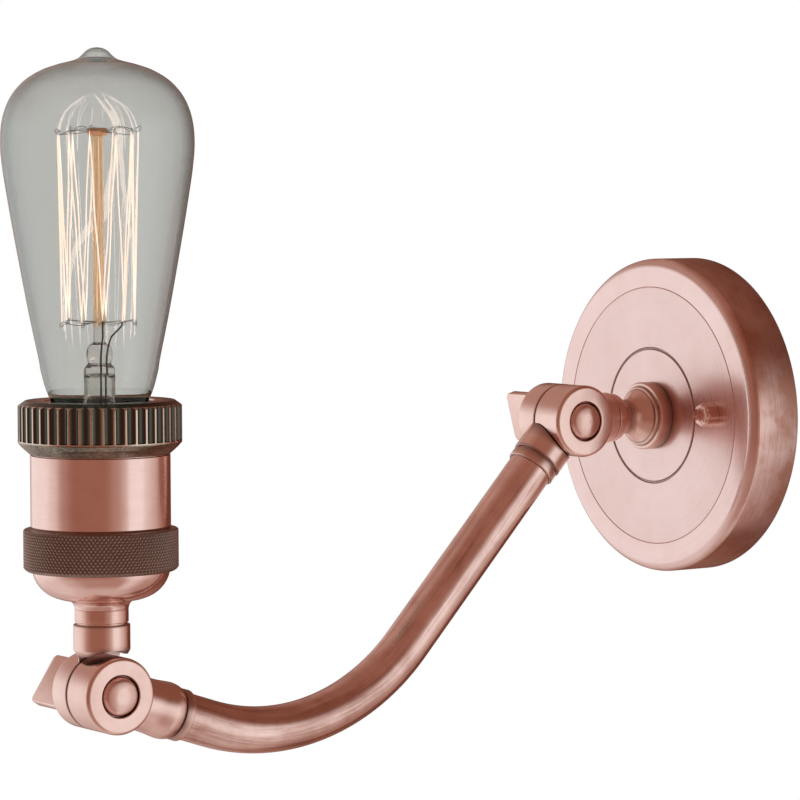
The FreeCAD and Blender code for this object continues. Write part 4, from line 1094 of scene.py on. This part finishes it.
def make_stem():
    """Glass stem about Z: flare, tube, pinched press and slim rod; and the bead on top."""
    where = basis(LOWER, Z)
    outer = smooth_line([
        (11.2, 92.5), (7.6, 94.2), (5.6, 97.2), (5.2, 100.5), (5.2, 107.6), (4.7, 109.3), (3.9, 110.3),
        (4.3, 112.2), (4.3, 114.4), (3.5, 116.2), (2.2, 117.2), (rod_r, 119.0), (rod_r, 150.0),
        (rod_r, rod_top)], 6)
    inner = smooth_line([(0.0, 107.0), (2.6, 106.8), (4.1, 105.4), (4.2, 100.5), (4.6, 97.0),
                         (6.6, 93.6), (10.0, 92.5)], 5)
    stem = turned("pressed_stem", np.vstack([inner, outer, [(0.0, rod_top)]]), where, 64)
    finished(stem, "bulb", stem_finish, "stem_glass", "glass_stem")
    line = corner_line([(0, rod_top, 0), (3.0, rod_top, 0.4), (hub_bead_r, 187.0, 0.9),
                        (3.0, hub_bead_top, 0.4), (0, hub_bead_top, 0)], 5)
    bead = turned("copper_bead", line, where, 48)
    finished(bead, "bulb", hub_finish, "hub_copper", "hub_bead")


def dress_hidden():
    """Materials for the CAD pieces that stay as they are."""
    finishes = {
        zinc_finish: ("mounting_strap", "canopy_studs", "stud_nuts", "lock_washer", "lock_nut",
                      "nozzle_nipple", "stem_nipple", "bowl_nut"),
        # The lower washer is painted near-black as the shade in the split
        split_shade_finish: ("lower_friction_washer",),
        wire_finish: ("upper_friction_washer",),
        turned_finish: ("upper_key_washer", "lower_key_washer"),
        green_finish: ("ground_screw",),
        lead_finish: ("supply_leads", "arm_leads", "socket_leads"),
        phenolic_finish: ("socket_core",),
        brass_finish: ("terminal_screws", "screw_shell", "centre_contact", "bulb_button"),
        shell_metal_finish: ("bulb_cap",),
        black_glass_finish: ("bulb_insulator",),
    }
    for material, nodes in finishes.items():
        for node in nodes:
            mesh = frame["nodes"][node].data
            mesh.materials.clear()
            mesh.materials.append(material)


def make_camera():
    """Camera at the photograph's place: about 1.3 m away, well to the right of the wall's
    normal and a little above."""
    place = Vector((1.0109, -0.8386, 0.0833))
    azimuth = math.radians(55.15)
    pitch = math.radians(3.41)
    roll = math.radians(-0.22)
    back = Vector((math.sin(azimuth) * math.cos(pitch), -math.cos(azimuth) * math.cos(pitch),
                   math.sin(pitch)))
    right = Vector((math.cos(azimuth), math.sin(azimuth), 0.0))
    up = back.cross(right)
    level = math.cos(roll) * right + math.sin(roll) * up
    upright = -math.sin(roll) * right + math.cos(roll) * up
    data = bpy.data.cameras.new("camera")
    data.sensor_width = 36.0
    data.lens = 157.5
    camera = linked("camera", data)
    rows = Matrix((level, upright, back)).transposed().to_4x4()
    camera.matrix_world = Matrix.Translation(place) @ rows
    bpy.context.scene.camera = camera


# The studio's tones, and the turn in degrees at which each stands round the lamp, counted from
# straight out of the wall to the right
CARD = (1.0, 1.0, 1.0)
SOFT = (0.82, 0.74, 0.71)
HAZE = (0.66, 0.54, 0.50)
WARM = (0.48, 0.31, 0.26)
DIM = (0.34, 0.165, 0.12)
DUSK = (0.24, 0.10, 0.065)
DARK = (0.16, 0.05, 0.03)
AT_LEVEL = [(-180, DARK), (-125, DARK), (-100, HAZE), (-88, CARD), (-42, CARD), (-22, SOFT),
            (-5, WARM), (16, DIM), (66, DIM), (88, WARM), (101, HAZE), (110, CARD), (131, CARD),
            (141, SOFT), (160, HAZE), (172, WARM)]
OVERHEAD = [(-180, DUSK), (-145, DUSK), (-108, WARM), (-12, WARM), (14, DIM), (90, DIM),
            (112, DUSK), (172, DUSK)]
UNDERNEATH = [(-180, DARK), (-140, DIM), (-98, HAZE), (-68, SOFT), (-30, SOFT), (-5, HAZE),
              (30, WARM), (100, WARM), (118, SOFT), (160, WARM)]
ZENITH = DIM + (1.0,)
GREY = (0.42, 0.43, 0.41, 1.0)
FLOOR_BELOW = HAZE + (1.0,)


def round_the_lamp(n, share, stops):
    """Colour that eases from stop to stop with the turn round the lamp."""
    ramp = n.add("ShaderNodeValToRGB")
    n.put(ramp.inputs[0], share)
    ramp.color_ramp.interpolation = "EASE"
    points = ramp.color_ramp.elements
    points.remove(points[1])
    for k, (angle, colour) in enumerate(stops):
        where = (angle + 180.0) / 360.0
        spot = points[0] if k == 0 else points.new(where)
        spot.position = where
        spot.color = colour + (1.0,)
    return ramp.outputs["Color"]


def make_world():
    """Studio round the lamp: soft white cards to its left and behind the camera's right, a
    warm dim room between them and overhead, a warm floor, and plain white straight behind
    the lamp and through its glass."""
    world = bpy.data.worlds.new("studio")
    bpy.context.scene.world = world
    world.use_nodes = True
    n = Nodes(world.node_tree)
    shade = world.node_tree.nodes["Background"]
    direction = n.add("ShaderNodeTexCoord").outputs["Generated"]
    split = n.add("ShaderNodeSeparateXYZ")
    n.put(split.inputs[0], direction)
    height = split.outputs["Z"]
    out = n.maths("MULTIPLY", split.outputs["Y"], -1.0)
    turn = n.maths("ARCTAN2", split.outputs["X"], out)
    share = n.maths("MULTIPLY_ADD", turn, 0.5 / math.pi, 0.5)
    level = round_the_lamp(n, share, AT_LEVEL)
    level = n.mix(n.ramp(height, 0.14, 0.46), level, round_the_lamp(n, share, OVERHEAD))
    level = n.mix(n.ramp(height, -0.24, -0.56), level, round_the_lamp(n, share, UNDERNEATH))
    level = n.mix(n.ramp(height, 0.80, 0.97), level, ZENITH)
    level = n.mix(n.ramp(height, -0.84, -0.97), level, FLOOR_BELOW)
    paths = n.add("ShaderNodeLightPath").outputs
    mirrored = n.maths("GREATER_THAN", paths["Glossy Depth"], 0.5)
    seen = n.mix(paths["Is Transmission Ray"], level, n.mix(mirrored, WHITE, GREY))
    n.put(shade.inputs["Color"], n.mix(paths["Is Camera Ray"], seen, WHITE))
    n.put(shade.inputs["Strength"], 1.0)


def make_floor():
    """Pale floor well below the lamp. It shows as plain white to the camera and through the
    glass, and lets mirrored rays through to the studio."""
    low = -0.62
    reach = 6.0
    corners = [(-reach, -reach, low), (reach, -reach, low), (reach, reach, low), (-reach, reach, low)]
    data = bpy.data.meshes.new("floor")
    data.from_pydata(corners, [], [(0, 1, 2, 3)])
    floor = linked("floor", data)
    material, n, shader = start_material("floor_white")
    drift = n.noise(n.place(), 3.0, 2.0)
    n.put(shader.inputs["Base Color"], n.mix(drift, (0.86, 0.86, 0.86, 1.0), (0.84, 0.84, 0.84, 1.0)))
    n.put(shader.inputs["Roughness"], 0.9)
    paths = n.add("ShaderNodeLightPath").outputs
    glow = n.add("ShaderNodeEmission").outputs[0]
    through = n.add("ShaderNodeBsdfTransparent").outputs[0]
    straight = n.maths("MAXIMUM", paths["Is Camera Ray"], paths["Is Transmission Ray"])
    seen = shader.outputs[0]
    for share, other in ((straight, glow), (paths["Is Glossy Ray"], through)):
        blend = n.add("ShaderNodeMixShader")
        for socket, value in zip(blend.inputs, (share, seen, other)):
            n.put(socket, value)
        seen = blend.outputs[0]
    n.put(material.node_tree.nodes["Material Output"].inputs["Surface"], seen)
    data.materials.append(material)


make_plate()
make_cap_nuts()
make_nozzle()
make_swivels()
make_bolt("upper_bolt_head", UPPER, "wall_base", "upper_pivot_bolt")
make_bolt("lower_bolt_head", LOWER, "arm", "lower_pivot_bolt")
make_key("upper_key_tab", UPPER, upper_tab_tilt, upper_tab_to, "upper_key", "upper_thumb_key")
make_key("lower_key_tab", LOWER, lower_tab_tilt, lower_tab_to, "lower_key", "lower_thumb_key")
make_arm()
make_lampholder()
make_band()
make_ring()
make_glass()
make_stem()
make_filament()
make_supports()
dress_hidden()
make_camera()
make_world()
make_floor()

bpy.context.scene.view_settings.view_transform = "Standard"
